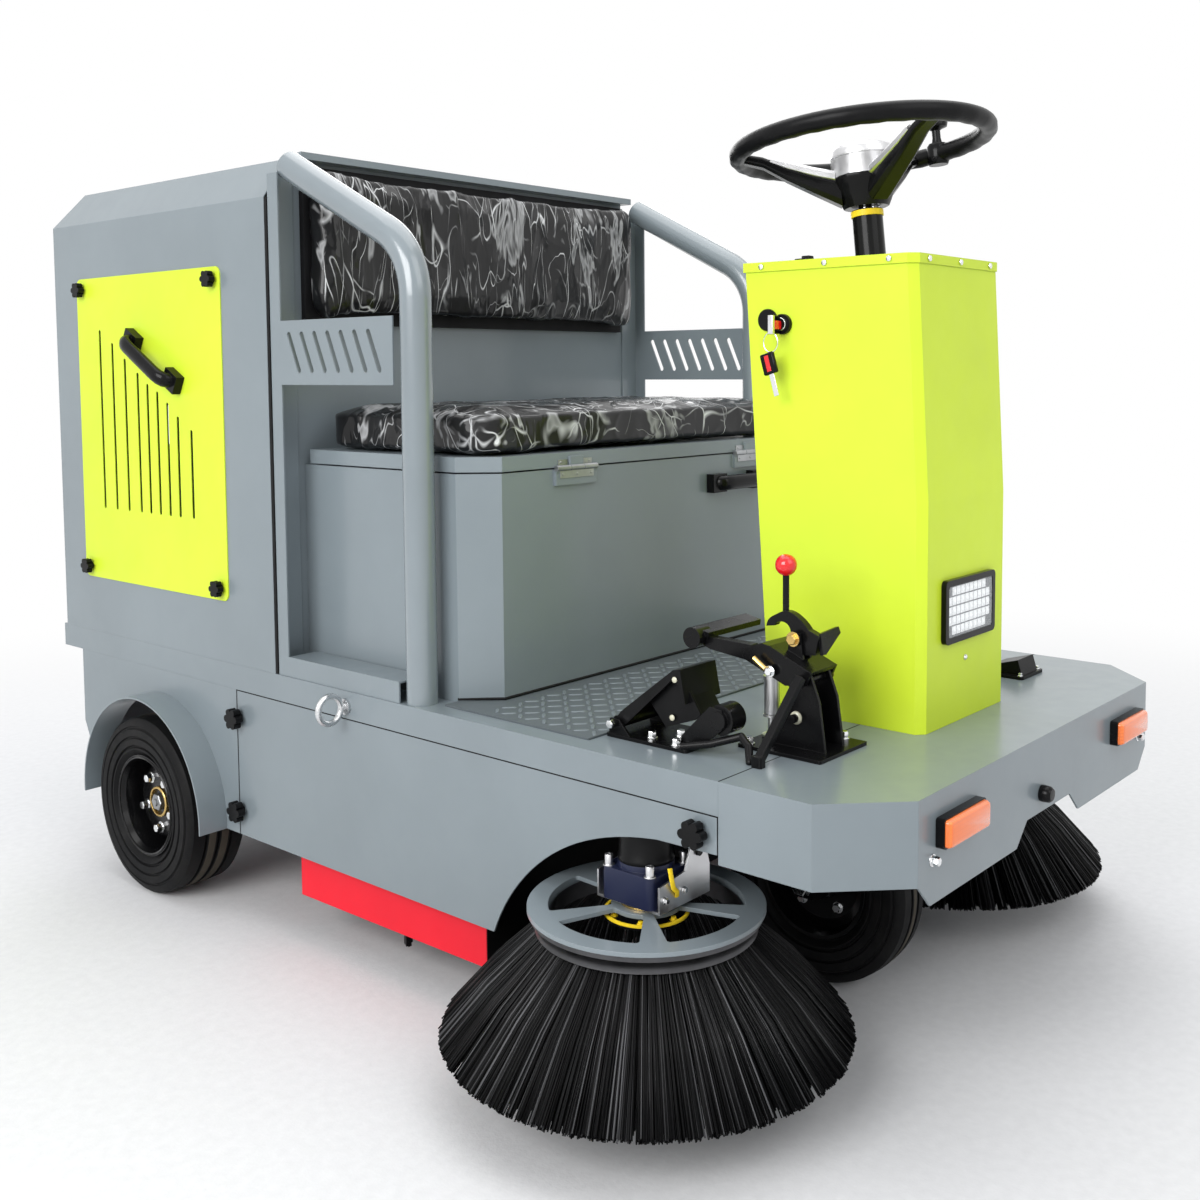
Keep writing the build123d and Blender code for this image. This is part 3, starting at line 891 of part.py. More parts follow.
# ---- accelerator: base with two ears and the position sensor, and the treadle hinged at its rear edge
hinge_at, tip_at = lifted((ACC_HINGE, ACC_TIP))
roller_at = (ROLLER[0], DECK_Z + ROLLER[1])
with BuildPart() as accelerator_base:
    block(ACC_X - ACC_HALF, ACC_X + ACC_HALF, ACC_FRONT_Y, ACC_REAR_Y, DECK_Z, DECK_Z + PLATE_T, radius=5)
    for ear_x in (ACC_X - ACC_EAR_X, ACC_X + ACC_EAR_X):
        side_prism([(hinge_at[0] + 10, DECK_Z + 3), (hinge_at[0] + 8, hinge_at[1] + 6),
                    (hinge_at[0] - 8, hinge_at[1] + 6), (hinge_at[0] - 30, DECK_Z + 3)],
                   ear_x - ACC_EAR_T / 2, ear_x + ACC_EAR_T / 2)
    rod((ACC_X - ACC_EAR_X - 4, *hinge_at), (ACC_X + ACC_EAR_X + 4, *hinge_at), ACC_PIN_R)
    # sensor drum on its bracket in front of the plate
    side_prism([(ACC_FRONT_Y + 26, DECK_Z + 3), (ACC_FRONT_Y + 22, DECK_Z + 18),
                (roller_at[0] + 15, roller_at[1] + 17), (roller_at[0] - 5, roller_at[1] + 15),
                (roller_at[0] - 10, roller_at[1] - 8), (roller_at[0] + 8, roller_at[1] - 24),
                (ACC_FRONT_Y + 1, DECK_Z + 3)],
               ROLLER_X - 5, ROLLER_X)
    rod((ROLLER_X - 8, *roller_at), (ROLLER_X - 1, *roller_at), ROLLER_R * 0.6)
    rod((ROLLER_X - 1, *roller_at), (ROLLER_X + ROLLER_W, *roller_at), ROLLER_R)
    rod((ROLLER_X + ROLLER_W - 1, *roller_at), (ROLLER_X + ROLLER_W + 6, *roller_at), ROLLER_R * 0.45)
    # bent flat bar from the plate's front corner down to the deck
    for start, end in zip(LINK_BAR, LINK_BAR[1:]):
        rod((start[0], start[1], DECK_Z + start[2]), (end[0], end[1], DECK_Z + end[2]), LINK_R)
        with Locations((end[0], end[1], DECK_Z + end[2])):
            Sphere(LINK_R)
    block(LINK_BAR[-1][0] - 12, LINK_BAR[-1][0] + 12, LINK_BAR[-1][1] - 7, LINK_BAR[-1][1] + 9, DECK_Z - 12,
          DECK_Z, mode=Mode.SUBTRACT)
save(accelerator_base, "accelerator_base")

with BuildPart() as accelerator_treadle:
    (hinge_py, hinge_pz), (tip_y, tip_z) = hinge_at, tip_at
    inside = BARREL_R - 3
    side_prism([(hinge_py + 2, hinge_pz + inside), (hinge_py - 6, hinge_pz + 16), (tip_y + 12, tip_z - 2),
                tip_at, (tip_y - 9, tip_z - TREADLE_LIP), (tip_y - 5, tip_z - TREADLE_LIP - 1),
                (tip_y + 4, tip_z - TREADLE_T - 4), (tip_y + 13, tip_z - TREADLE_T - 4),
                (hinge_py - 3, hinge_pz + inside - 1)], ACC_X - TREADLE_HALF, ACC_X + TREADLE_HALF)
    # flanges folded down along both sides
    for side_x in (ACC_X - TREADLE_HALF, ACC_X + TREADLE_HALF - TREADLE_T):
        side_prism([(hinge_py + 2, hinge_pz), (hinge_py + 2, hinge_pz + inside),
                    (hinge_py - 6, hinge_pz + 16), (tip_y + 12, tip_z - 2), (tip_y + 2, tip_z - 2),
                    (tip_y - 3, tip_z - 2 * TREADLE_FLANGE), (tip_y + 14, tip_z - TREADLE_FLANGE - 4),
                    (hinge_py - 14, hinge_pz - 2), (hinge_py, hinge_pz - inside)],
                   side_x, side_x + TREADLE_T)
    rod((ACC_X - TREADLE_HALF, *hinge_at), (ACC_X + TREADLE_HALF, *hinge_at), BARREL_R)
    # switch box hung under the treadle, with its cover
    box = lifted(SENSOR_BOX)
    side_prism(box, ACC_X - SENSOR_HALF, ACC_X + SENSOR_HALF)
    with BuildSketch(Plane.YZ.offset(ACC_X - SENSOR_HALF - SENSOR_COVER)) as cover:
        with BuildLine():
            Polyline(*box, close=True)
        make_face()
        offset(amount=2.5)
    extrude(cover.sketch, amount=SENSOR_COVER + 1)
    rod((ACC_X - ACC_EAR_X, *hinge_at), (ACC_X + ACC_EAR_X, *hinge_at), ACC_PIN_R + HUB_GAP,
        mode=Mode.SUBTRACT)
save(accelerator_treadle, "accelerator_treadle")

# ---- brake: tower of two tapered plates with a strut, crank and pedal arm, claw with foot tab and hand rod
bolt_at, pin_at, claw_at = lifted((TOWER_BOLT, TOWER_PIN, CLAW_PIN))
plate_x = (TOWER_X - TOWER_GAP / 2 - TOWER_SHEET, TOWER_X + TOWER_GAP / 2)
with BuildPart() as brake_tower:
    block(TOWER_LEFT_X, TOWER_RIGHT_X, TOWER_FRONT_Y, TOWER_REAR_Y, DECK_Z, DECK_Z + PLATE_T, radius=3)
    for low_x in plate_x:
        side_prism(lifted(TOWER_FORM), low_x, low_x + TOWER_SHEET)
    for at, radius in ((bolt_at, PEDAL_PIN_R), (pin_at, PEDAL_PIN_R)):
        rod((plate_x[0] - 14, *at), (plate_x[1] + TOWER_SHEET + 14, *at), radius)
    # strut from the deck up to the outer plate
    foot = Vector(STRUT_FOOT[0], STRUT_FOOT[1], DECK_Z + STRUT_FOOT[2])
    top = Vector(STRUT_TOP[0], STRUT_TOP[1], DECK_Z + STRUT_TOP[2])
    with BuildSketch(Plane(origin=foot, x_dir=(0, 1, 0), z_dir=top - foot)) as bar:
        RectangleRounded(STRUT_W, STRUT_W, 2)
    extrude(bar.sketch, amount=(top - foot).length)
    block(foot.X - 7, foot.X + 6, foot.Y - 8, foot.Y + 8, DECK_Z, foot.Z + 7, radius=3)
    rod((top.X - 6, *pin_at), (top.X + 4, *pin_at), PEDAL_PIN_R + 3)
save(brake_tower, "brake_tower")

crank_x = (plate_x[0] - CRANK_GAP - CRANK_T, plate_x[1] + TOWER_SHEET + CRANK_GAP)
with BuildPart() as brake_pedal:
    # crank: two cheeks outside the tower's plates, joined by a web along their upper edge
    crank = lifted(CRANK_FORM)
    for low_x in crank_x:
        side_prism(crank, low_x, low_x + CRANK_T)
    front_top, rear_top, crest, corner = crank[0], crank[-3], crank[-2], crank[-1]
    side_prism([front_top, (front_top[0] + 3, front_top[1] - CRANK_T), (corner[0] + 3, corner[1] - CRANK_T),
                (crest[0], crest[1] - CRANK_T), (rear_top[0] - 2, rear_top[1] - CRANK_T), rear_top, crest,
                corner], crank_x[0], crank_x[1] + CRANK_T)
    # arm to the pad, and the pad bar with its round end
    arm_x = crank_x[0] + 1
    side_prism(lifted(ARM_FORM), arm_x, arm_x + ARM_W)
    pad_y, pad_z = PAD[0], DECK_Z + PAD[1]
    side_prism([(pad_y - 16, pad_z - 5), (pad_y - 17, pad_z + 3), (pad_y + 10, pad_z + 9),
                (pad_y + 14, pad_z + 3)],
               PAD_LEFT_X + 12, PAD_RIGHT_X)
    rod((PAD_LEFT_X, pad_y + 4, pad_z - 5), (PAD_LEFT_X + PAD_END_W, pad_y + 4, pad_z - 5), PAD_END_R)
    # lugs that carry the claw
    for lug_x in (CLAW_X - CLAW_T / 2 - 5, CLAW_X + CLAW_T / 2 + 1):
        side_prism([(claw_at[0] - 14, crank[0][1] + 4), (claw_at[0] + 14, crank[0][1] + 4),
                    (claw_at[0] + 8, claw_at[1] + 8), (claw_at[0] - 8, claw_at[1] + 8)], lug_x, lug_x + 4)
    rod((CLAW_X - 16, *claw_at), (CLAW_X + 16, *claw_at), PEDAL_PIN_R)
    rod((crank_x[0] - 1, *pin_at), (crank_x[1] + CRANK_T + 1, *pin_at), PEDAL_PIN_R + HUB_GAP,
        mode=Mode.SUBTRACT)
save(brake_pedal, "brake_pedal")

with BuildPart() as park_lever:
    # hooked claw, the tab a foot presses on, and the hand rod
    with BuildSketch(Plane.YZ.offset(CLAW_X - CLAW_T / 2)) as claw:
        with BuildLine():
            tip = Spline(*lifted(CLAW_OUTER[:6]))
            Polyline(*lifted(CLAW_OUTER[5:]), lifted(CLAW_INNER)[0])
            inner = Spline(*lifted(CLAW_INNER))
            Line(inner @ 1, tip @ 0)
        make_face()
    extrude(claw.sketch, amount=CLAW_T)
    tab = lifted(CLAW_OUTER[6:8])
    with BuildSketch(Plane(origin=(CLAW_X, *tab[0]), x_dir=(1, 0, 0), z_dir=(0, -1, 0.15))) as wing:
        with BuildLine():
            Polyline((0, 2), (WING_X - CLAW_X, 5), (WING_X - CLAW_X + 3, -4), (8, tab[1][1] - tab[0][1]),
                     (0, tab[1][1] - tab[0][1]), close=True)
        make_face()
    extrude(wing.sketch, amount=-WING_T)
    rod((LEVER_X, LEVER_Y, DECK_Z + CLAW_OUTER[3][1] - 8), (LEVER_X, LEVER_Y, DECK_Z + LEVER_TOP - 5),
        LEVER_R)
    rod((CLAW_X - CLAW_T, *claw_at), (CLAW_X + CLAW_T, *claw_at), PEDAL_PIN_R + HUB_GAP, mode=Mode.SUBTRACT)
save(park_lever, "park_lever")

with BuildPart() as lever_ball:
    with Locations((LEVER_X, LEVER_Y, DECK_Z + LEVER_TOP)):
        Sphere(LEVER_BALL_R)
    rod((LEVER_X, LEVER_Y, DECK_Z + LEVER_TOP - 2 * LEVER_BALL_R), (LEVER_X, LEVER_Y, DECK_Z + LEVER_TOP - 5),
        LEVER_R, mode=Mode.SUBTRACT)
save(lever_ball, "lever_ball")

with BuildPart() as brake_cylinder:
    # small cylinder standing between the tower's plates, its rod up to the crank's web
    rod((TOWER_X, DAMPER_Y, DECK_Z + PLATE_T), (TOWER_X, DAMPER_Y, DECK_Z + DAMPER_LOW + 1), LEVER_R + 1)
    rod((TOWER_X, DAMPER_Y, DECK_Z + DAMPER_LOW), (TOWER_X, DAMPER_Y, DECK_Z + DAMPER_HIGH), DAMPER_R)
    rod((TOWER_X, DAMPER_Y, DECK_Z + DAMPER_HIGH - 1), (TOWER_X, DAMPER_Y, DECK_Z + DAMPER_HIGH + 6),
        DAMPER_R - 3)
    rod((TOWER_X, DAMPER_Y, DECK_Z + DAMPER_HIGH), (TOWER_X, DAMPER_Y, crest[1] - CRANK_T - ROD_GAP),
        ROD_R)
save(brake_cylinder, "brake_cylinder")

with BuildPart() as foot_switch:
    block(SWITCH_X - SWITCH_HALF - 12, SWITCH_X + SWITCH_HALF + 12, SWITCH_Y - 30, SWITCH_Y + 46,
          DECK_Z, DECK_Z + PLATE_T, radius=6)
    side_prism([(SWITCH_Y - 24, DECK_Z + PLATE_T - 1), (SWITCH_Y + 38, DECK_Z + PLATE_T - 1),
                (SWITCH_Y + 32, DECK_Z + 16), (SWITCH_Y - 16, DECK_Z + 30)],
               SWITCH_X - SWITCH_HALF, SWITCH_X + SWITCH_HALF)
save(foot_switch, "foot_switch")

# ---- grab handles: one on each louvre panel and one on the front of the seat box
with BuildPart() as box_handle:
    rear_y = SEAT_FRONT_Y
    foot_x = (BOX_HANDLE_X - BOX_HANDLE_HALF, BOX_HANDLE_X + BOX_HANDLE_HALF)
    with BuildLine() as path:
        FilletPolyline((foot_x[0], rear_y, BOX_HANDLE_Z),
                       (foot_x[0] + BOX_HANDLE_SPLAY, rear_y - BOX_HANDLE_RISE, BOX_HANDLE_Z),
                       (foot_x[1] - BOX_HANDLE_SPLAY, rear_y - BOX_HANDLE_RISE, BOX_HANDLE_Z),
                       (foot_x[1], rear_y, BOX_HANDLE_Z), radius=BOX_HANDLE_BEND)
    with BuildSketch(Plane(origin=path.wire().position_at(0), z_dir=path.wire().tangent_at(0))) as grip:
        Circle(BOX_HANDLE_R)
    sweep(grip.sketch, path=path.wire(), transition=Transition.ROUND)
    for at_x in foot_x:
        rod((at_x, rear_y, BOX_HANDLE_Z), (at_x, rear_y - 5, BOX_HANDLE_Z), BOX_HANDLE_R + 4)
    block(BOX_HANDLE_X - 90, BOX_HANDLE_X + 90, rear_y, rear_y + 30, BOX_HANDLE_Z - 30, BOX_HANDLE_Z + 30,
          mode=Mode.SUBTRACT)
with BuildPart() as grab_handles:
    add(panel_handle.part)
    mirror(panel_handle.part, about=Plane.YZ)
    add(box_handle.part)
save(grab_handles, "grab_handles")

# ================================================================ side brushes on their lifting arms
arm_y = BRUSH_Y
arm_z, head_z = rail_low - ARM_DROP, RING_Z + HEAD_RISE
gearbox_low = RING_Z + BRACKET_GAP + EAR_T
gearbox_high = gearbox_low + GEARBOX_H
motor_top = gearbox_high + BRUSH_MOTOR_H
rim_low = RING_Z - RIM_DROP + 2
with BuildPart() as arm_bracket:
    # two clevis plates under the frame rail, with the fixed pivot pin
    for bracket_y in (arm_y - CLEVIS_Y, arm_y + CLEVIS_Y):
        front_prism([(-RAIL_X - RAIL_W / 2, rail_low), (-RAIL_X + RAIL_W / 2, rail_low),
                     (-ARM_X + 14, arm_z - 8), (-ARM_X, arm_z - 16), (-ARM_X - 14, arm_z - 8)],
                    bracket_y - 3, bracket_y + 3)
    rod((-ARM_X, arm_y - CLEVIS_Y - 8, arm_z), (-ARM_X, arm_y + CLEVIS_Y + 8, arm_z), ARM_PIN_R)
save_pair([arm_bracket], "arm_brackets")

arm_run = Vector(ARM_X - HEAD_X, 0, head_z - arm_z)
with BuildPart() as brush_arm:
    rod((-ARM_X, arm_y - CLEVIS_Y + 6, arm_z), (-ARM_X, arm_y + CLEVIS_Y - 6, arm_z), ARM_TUBE_R)
    for side in (-1, 1):
        bar_y = arm_y + side * ARM_BAR_Y
        with BuildSketch(Plane(origin=(-ARM_X, bar_y, arm_z), x_dir=(0, 1, 0), z_dir=arm_run)) as bar:
            Rectangle(ARM_BAR_T, ARM_BAR_H)
        extrude(bar.sketch, amount=arm_run.length)
        rod((-HEAD_X, bar_y - ARM_BAR_T / 2, head_z), (-HEAD_X, bar_y + ARM_BAR_T / 2, head_z), ARM_BAR_H / 2)
        rod((-HEAD_X, bar_y, head_z), (-HEAD_X, arm_y + side * (EAR_Y + EAR_T + 4), head_z), HEAD_PIN_R)
    rod((-ARM_X, arm_y - CLEVIS_Y, arm_z), (-ARM_X, arm_y + CLEVIS_Y, arm_z), ARM_PIN_R + HUB_GAP,
        mode=Mode.SUBTRACT)
both_sides(brush_arm, "brush_arm")

with BuildPart() as brush_bracket:
    # bent sheet: base under the gearbox and an ear at the front and at the back
    bracket_low = RING_Z + BRACKET_GAP
    out_x, in_x = -BRUSH_X - BRACKET_OUT, -BRUSH_X + BRACKET_IN
    block(out_x, in_x, arm_y - EAR_Y - EAR_T, arm_y + EAR_Y + EAR_T, bracket_low, bracket_low + EAR_T)
    for ear_y in (arm_y - EAR_Y - EAR_T, arm_y + EAR_Y):
        front_prism([(out_x, bracket_low), (out_x, bracket_low + 37), (-HEAD_X - 28, bracket_low + 44),
                     (-HEAD_X - 14, head_z + 14), (-HEAD_X + 14, head_z + 14), (in_x, bracket_low + 40),
                     (in_x, bracket_low)], ear_y, ear_y + EAR_T)
    rod((-HEAD_X, arm_y - EAR_Y - 28, head_z), (-HEAD_X, arm_y + EAR_Y + 28, head_z), HEAD_PIN_R + HUB_GAP,
        mode=Mode.SUBTRACT)
    rod((-BRUSH_X, arm_y, bracket_low - 1), (-BRUSH_X, arm_y, bracket_low + 10), SHAFT_R + 6,
        mode=Mode.SUBTRACT)
both_sides(brush_bracket, "brush_bracket")

with BuildPart() as brush_drive:
    block(-BRUSH_X - GEARBOX / 2, -BRUSH_X + GEARBOX / 2, arm_y - GEARBOX / 2, arm_y + GEARBOX / 2,
          gearbox_low, gearbox_high, radius=GEARBOX_CORNER)
    # motor on top, its flange and the end cap
    for low, high, radius in ((gearbox_high - 1, gearbox_high + 8, BRUSH_MOTOR_R + 2),
                              (gearbox_high + 7, motor_top - 14, BRUSH_MOTOR_R),
                              (motor_top - 15, motor_top, BRUSH_MOTOR_R - 6)):
        rod((-BRUSH_X, arm_y, low), (-BRUSH_X, arm_y, high), radius)
    rod((-BRUSH_X, arm_y, gearbox_low - 1), (-BRUSH_X, arm_y, gearbox_low + 22), SHAFT_R + HUB_GAP,
        mode=Mode.SUBTRACT)
both_sides(brush_drive, "brush_drive")

with BuildPart() as brush_disc:
    # plate with wide windows between wedge-shaped spokes
    with BuildSketch(Plane(origin=(-BRUSH_X, arm_y, RING_Z - RING_T))) as plate:
        Circle(RING_R)
        for index in range(DISC_SPOKES):
            start = SPOKE_AT + SPOKE_SPAN / 2 + index * 360 / DISC_SPOKES
            span = 360 / DISC_SPOKES - SPOKE_SPAN
            with BuildSketch(mode=Mode.PRIVATE) as window:
                with BuildLine():
                    outer = CenterArc((0, 0), WINDOW_OUT_R, start, span)
                    inner = CenterArc((0, 0), HUB_DISC_R, start, span)
                    Line(outer @ 0, inner @ 0)
                    Line(outer @ 1, inner @ 1)
                make_face()
                fillet(window.vertices(), WINDOW_CORNER)
            add(window.sketch, mode=Mode.SUBTRACT)
    extrude(plate.sketch, amount=RING_T)
    # drum under the plate that carries the tufts
    plane = Plane(origin=(-BRUSH_X, arm_y, 0), x_dir=(1, 0, 0), z_dir=(0, -1, 0))
    inner_r = BRUSH_CORE_R - RIM_WALL
    with BuildSketch(plane) as drum:
        with BuildLine():
            Polyline((inner_r, RING_Z - RING_T + 1), (BRUSH_CORE_R - 3, RING_Z - RING_T + 1),
                     (BRUSH_CORE_R - 3, rim_low + RIM_LIP + 3), (BRUSH_CORE_R, rim_low + RIM_LIP),
                     (BRUSH_CORE_R, rim_low), (inner_r, rim_low), close=True)
        make_face()
    revolve(drum.sketch, axis=Axis((-BRUSH_X, arm_y, 0), (0, 0, 1)))
    # drive flange and shaft
    rod((-BRUSH_X, arm_y, RING_Z - RING_T - HUB_PLATE_T), (-BRUSH_X, arm_y, RING_Z - RING_T + 1), HUB_RISE_R)
    rod((-BRUSH_X, arm_y, RING_Z - RING_T - 12), (-BRUSH_X, arm_y, gearbox_low + 20), SHAFT_R)
both_sides(brush_disc, "brush_disc")

with BuildPart() as side_bristles:
    # the tufts together, as one flaring skirt
    plane = Plane(origin=(-BRUSH_X, arm_y, 0), x_dir=(1, 0, 0), z_dir=(0, -1, 0))
    with BuildSketch(plane) as section:
        with BuildLine():
            Polyline((BRUSH_CORE_R - RIM_WALL, rim_low), (BRUSH_CORE_R, rim_low),
                     (BRISTLE_R, BRISTLE_LOW_Z + 8), (BRISTLE_R - BRISTLE_WALL, BRISTLE_LOW_Z), close=True)
        make_face()
    revolve(section.sketch, axis=Axis((-BRUSH_X, arm_y, 0), (0, 0, 1)))
both_sides(side_bristles, "side_bristles")

# ================================================================ main brush and its housing
with BuildPart() as main_brush:
    centre = (MAIN_BRUSH_Y, MAIN_BRUSH_Z)
    rod((-HOUSING_HALF + 1, *centre), (HOUSING_HALF - 1, *centre), BRUSH_SHAFT_R)
    rod((-MAIN_BRUSH_HALF, *centre), (MAIN_BRUSH_HALF, *centre), MAIN_BRUSH_R)
save(main_brush, "main_brush")

with BuildPart() as brush_housing:
    side_prism([(HOUSING_REAR_Y, HOUSING_LOW_Z), (HOUSING_REAR_Y, rail_low),
                (HOUSING_FRONT_Y + HOUSING_SLOPE, rail_low), (HOUSING_FRONT_Y, HOUSING_KNEE_Z),
                (HOUSING_FRONT_Y, HOUSING_LOW_Z + 4)],
               -HOUSING_HALF, HOUSING_HALF)
    inner = [(HOUSING_REAR_Y - SHEET, HOUSING_LOW_Z - 9), (HOUSING_REAR_Y - SHEET, rail_low - SHEET),
             (HOUSING_FRONT_Y + HOUSING_SLOPE + 1, rail_low - SHEET),
             (HOUSING_FRONT_Y + SHEET, HOUSING_KNEE_Z - 1),
             (HOUSING_FRONT_Y + SHEET, HOUSING_LOW_Z - 9)]
    side_prism(inner, -HOUSING_HALF + SHEET, HOUSING_HALF - SHEET, mode=Mode.SUBTRACT)
    rod((-HOUSING_HALF - 1, *centre), (HOUSING_HALF + 1, *centre), BRUSH_SHAFT_R + HUB_GAP,
        mode=Mode.SUBTRACT)
save(brush_housing, "brush_housing")
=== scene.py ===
"""Looks of the ride-on sweeper: materials, cushions, brush tufts, tyres, small fittings, light and camera.

Everything is in metres in the part's own frame: +Z up, the machine faces -Y, its right-hand side is -X.
"""

import json
import math
import random

import bmesh
import bpy
import numpy as np
from mathutils import Matrix, Vector, noise


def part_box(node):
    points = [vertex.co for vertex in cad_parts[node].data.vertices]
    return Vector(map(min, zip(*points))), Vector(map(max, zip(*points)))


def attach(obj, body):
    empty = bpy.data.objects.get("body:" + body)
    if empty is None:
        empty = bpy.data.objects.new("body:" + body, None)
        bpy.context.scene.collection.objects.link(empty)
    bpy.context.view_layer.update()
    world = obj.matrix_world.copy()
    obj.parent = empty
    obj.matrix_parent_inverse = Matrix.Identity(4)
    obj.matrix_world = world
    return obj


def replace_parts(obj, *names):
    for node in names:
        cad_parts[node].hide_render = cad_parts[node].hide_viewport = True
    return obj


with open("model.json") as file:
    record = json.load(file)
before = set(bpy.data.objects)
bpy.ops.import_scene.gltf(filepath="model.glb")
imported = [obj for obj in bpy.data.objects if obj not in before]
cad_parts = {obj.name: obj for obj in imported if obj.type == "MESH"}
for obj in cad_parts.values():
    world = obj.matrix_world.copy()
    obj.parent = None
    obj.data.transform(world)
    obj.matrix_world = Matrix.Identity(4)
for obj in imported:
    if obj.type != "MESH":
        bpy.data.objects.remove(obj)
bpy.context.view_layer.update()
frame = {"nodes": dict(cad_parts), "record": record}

MM = 0.001
X, Y, Z = Vector((1, 0, 0)), Vector((0, 1, 0)), Vector((0, 0, 1))
SIDES = ((-1, "right"), (1, "left"))

# ---------------------------------------------------------------- places that the part's joints give
JOINTS = {joint["name"]: joint for joint in frame["record"]["behaviour"]["joints"]}


def pivot(joint):
    return Vector(JOINTS[joint]["pos_m"])


REAR_AXLE = Vector((0, *pivot("rear_wheel_right_spin")[1:]))
FRONT_AXLE = pivot("front_wheel_spin")
SIDE_BRUSH = pivot("side_brush_left_spin")
MAIN_BRUSH = pivot("main_brush_spin")
LID_PIN = pivot("seat_lid_hinge")
HUB = pivot("steering_wheel_turn")
HUB_AXIS = Vector(JOINTS["steering_wheel_turn"]["axis"])
HUB_REAR = X.cross(HUB_AXIS) * -1


# ---------------------------------------------------------------- materials
class Nodes:
    """Short-hand for building the node tree of a material or of the world."""

    def __init__(self, owner):
        self.owner = owner
        owner.use_nodes = True
        self.tree = owner.node_tree
        self.bsdf = self.tree.nodes.get("Principled BSDF")

    def feed(self, socket, value):
        """Link a socket to another one, or set it to a constant."""
        if isinstance(value, bpy.types.NodeSocket):
            self.tree.links.new(value, socket)
        elif socket.type == "RGBA" and len(value) == 3:
            socket.default_value = (*value, 1)
        else:
            socket.default_value = value

    def add(self, kind, **values):
        node = self.tree.nodes.new(kind)
        for key, value in values.items():
            if key in node.inputs:
                self.feed(node.inputs[key], value)
            else:
                setattr(node, key, value)
        return node

    def surface(self, **inputs):
        """Feed the main shader's inputs, with an underscore for each space of a name."""
        for name, value in inputs.items():
            self.feed(self.bsdf.inputs[name.replace("_", " ")], value)
        return self.owner

    def coords(self, scale=(1, 1, 1), turn=(0, 0, 0)):
        tex = self.add("ShaderNodeTexCoord")
        mapping = self.add("ShaderNodeMapping", Vector=tex.outputs["Object"], Rotation=turn, Scale=scale)
        return mapping.outputs["Vector"]

    def noise(self, scale, detail=4.0, rough=0.5, vector=None):
        tex = self.add("ShaderNodeTexNoise", Vector=vector or self.coords(), Scale=scale, Detail=detail,
                       Roughness=rough)
        return tex.outputs["Fac"]

    def ramp(self, fac, stops):
        ramp = self.add("ShaderNodeValToRGB", Fac=fac)
        elements = ramp.color_ramp.elements
        while len(elements) < len(stops):
            elements.new(0.5)
        for element, (at, colour) in zip(elements, stops):
            element.position = at
            element.color = (*colour, 1)
        return ramp.outputs["Color"]

    def mix(self, fac, a, b, blend="MIX"):
        mix = self.add("ShaderNodeMix", data_type="RGBA", blend_type=blend)
        for index, value in ((0, fac), (6, a), (7, b)):
            self.feed(mix.inputs[index], value)
        return mix.outputs[2]

    def math(self, op, a, b=0.0, clamp=False):
        node = self.add("ShaderNodeMath", operation=op, use_clamp=clamp)
        self.feed(node.inputs[0], a)
        self.feed(node.inputs[1], b)
        return node.outputs[0]

    def vector(self, op, *entries):
        node = self.add("ShaderNodeVectorMath", operation=op)
        for socket, value in zip(node.inputs, entries):
            self.feed(socket, value)
        return node.outputs["Value" if op in ("DOT_PRODUCT", "LENGTH") else "Vector"]

    def bump(self, height, strength, distance, normal=None):
        bump = self.add("ShaderNodeBump", Height=height, Strength=strength, Distance=distance)
        if normal:
            self.feed(bump.inputs["Normal"], normal)
        return bump.outputs["Normal"]

    def mottled(self, scale, detail, spread, middle):
        """Roughness that wanders by spread about its middle value."""
        return self.math("ADD", self.math("MULTIPLY", self.noise(scale, detail), spread), middle - spread / 2)

    def edges(self, radius):
        """(rounded normal, mask of the edges from 0 to 1)."""
        rounded = self.add("ShaderNodeBevel", samples=4, Radius=radius).outputs["Normal"]
        flat = self.add("ShaderNodeNewGeometry").outputs["Normal"]
        off = self.math("SUBTRACT", 1.0, self.vector("DOT_PRODUCT", rounded, flat))
        return rounded, self.math("MULTIPLY", off, 5.0, clamp=True)


def scaled(colour, by, plus=0.0, most=math.inf):
    return tuple(min(most, c * by + plus) for c in colour)


NONE, FULL = (0, 0, 0), (1, 1, 1)


def painted(name, colour, rough=0.38, coat=0.25, dust=0.12, wear=0.12, gloss=0.4):
    """Sprayed sheet metal: orange peel, a little dust and slightly lighter edges."""
    n = Nodes(bpy.data.materials.new(name))
    base = n.ramp(n.noise(2.2, 5, 0.6), [(0.30, scaled(colour, 0.93)), (0.72, scaled(colour, 1.10, 0.002))])
    dusty = n.ramp(n.noise(9, 8, 0.7), [(0.50, NONE), (0.78, FULL)])
    base = n.mix(n.math("MULTIPLY", dusty, dust), base, scaled(colour, 0.72, 0.06))
    normal, mask = n.edges(0.0015)
    base = n.mix(n.math("MULTIPLY", mask, wear), base, scaled(colour, 1.5, 0.05, most=1))
    peel = n.bump(n.noise(420, 2), 0.05, 0.0004, normal)
    return n.surface(Base_Color=base, Roughness=n.mottled(30, 3, 0.14, rough), Normal=peel, Coat_Weight=coat,
                     Coat_Roughness=0.16, Specular_IOR_Level=gloss)


def metal(name, colour, rough=0.28, grain=60.0, spots=0.25):
    """Bare or plated metal with fine grain and duller patches."""
    n = Nodes(bpy.data.materials.new(name))
    base = n.ramp(n.noise(24, 5, 0.6), [(0.3, scaled(colour, 1 - spots)), (0.7, colour)])
    normal, _ = n.edges(0.0006)
    grained = n.bump(n.noise(grain * 12, 2), 0.06, 0.0003, normal)
    rough_map = n.math("ADD", n.math("MULTIPLY", n.noise(grain, 3), 0.25), rough - 0.12)
    return n.surface(Base_Color=base, Metallic=1.0, Roughness=rough_map, Normal=grained)


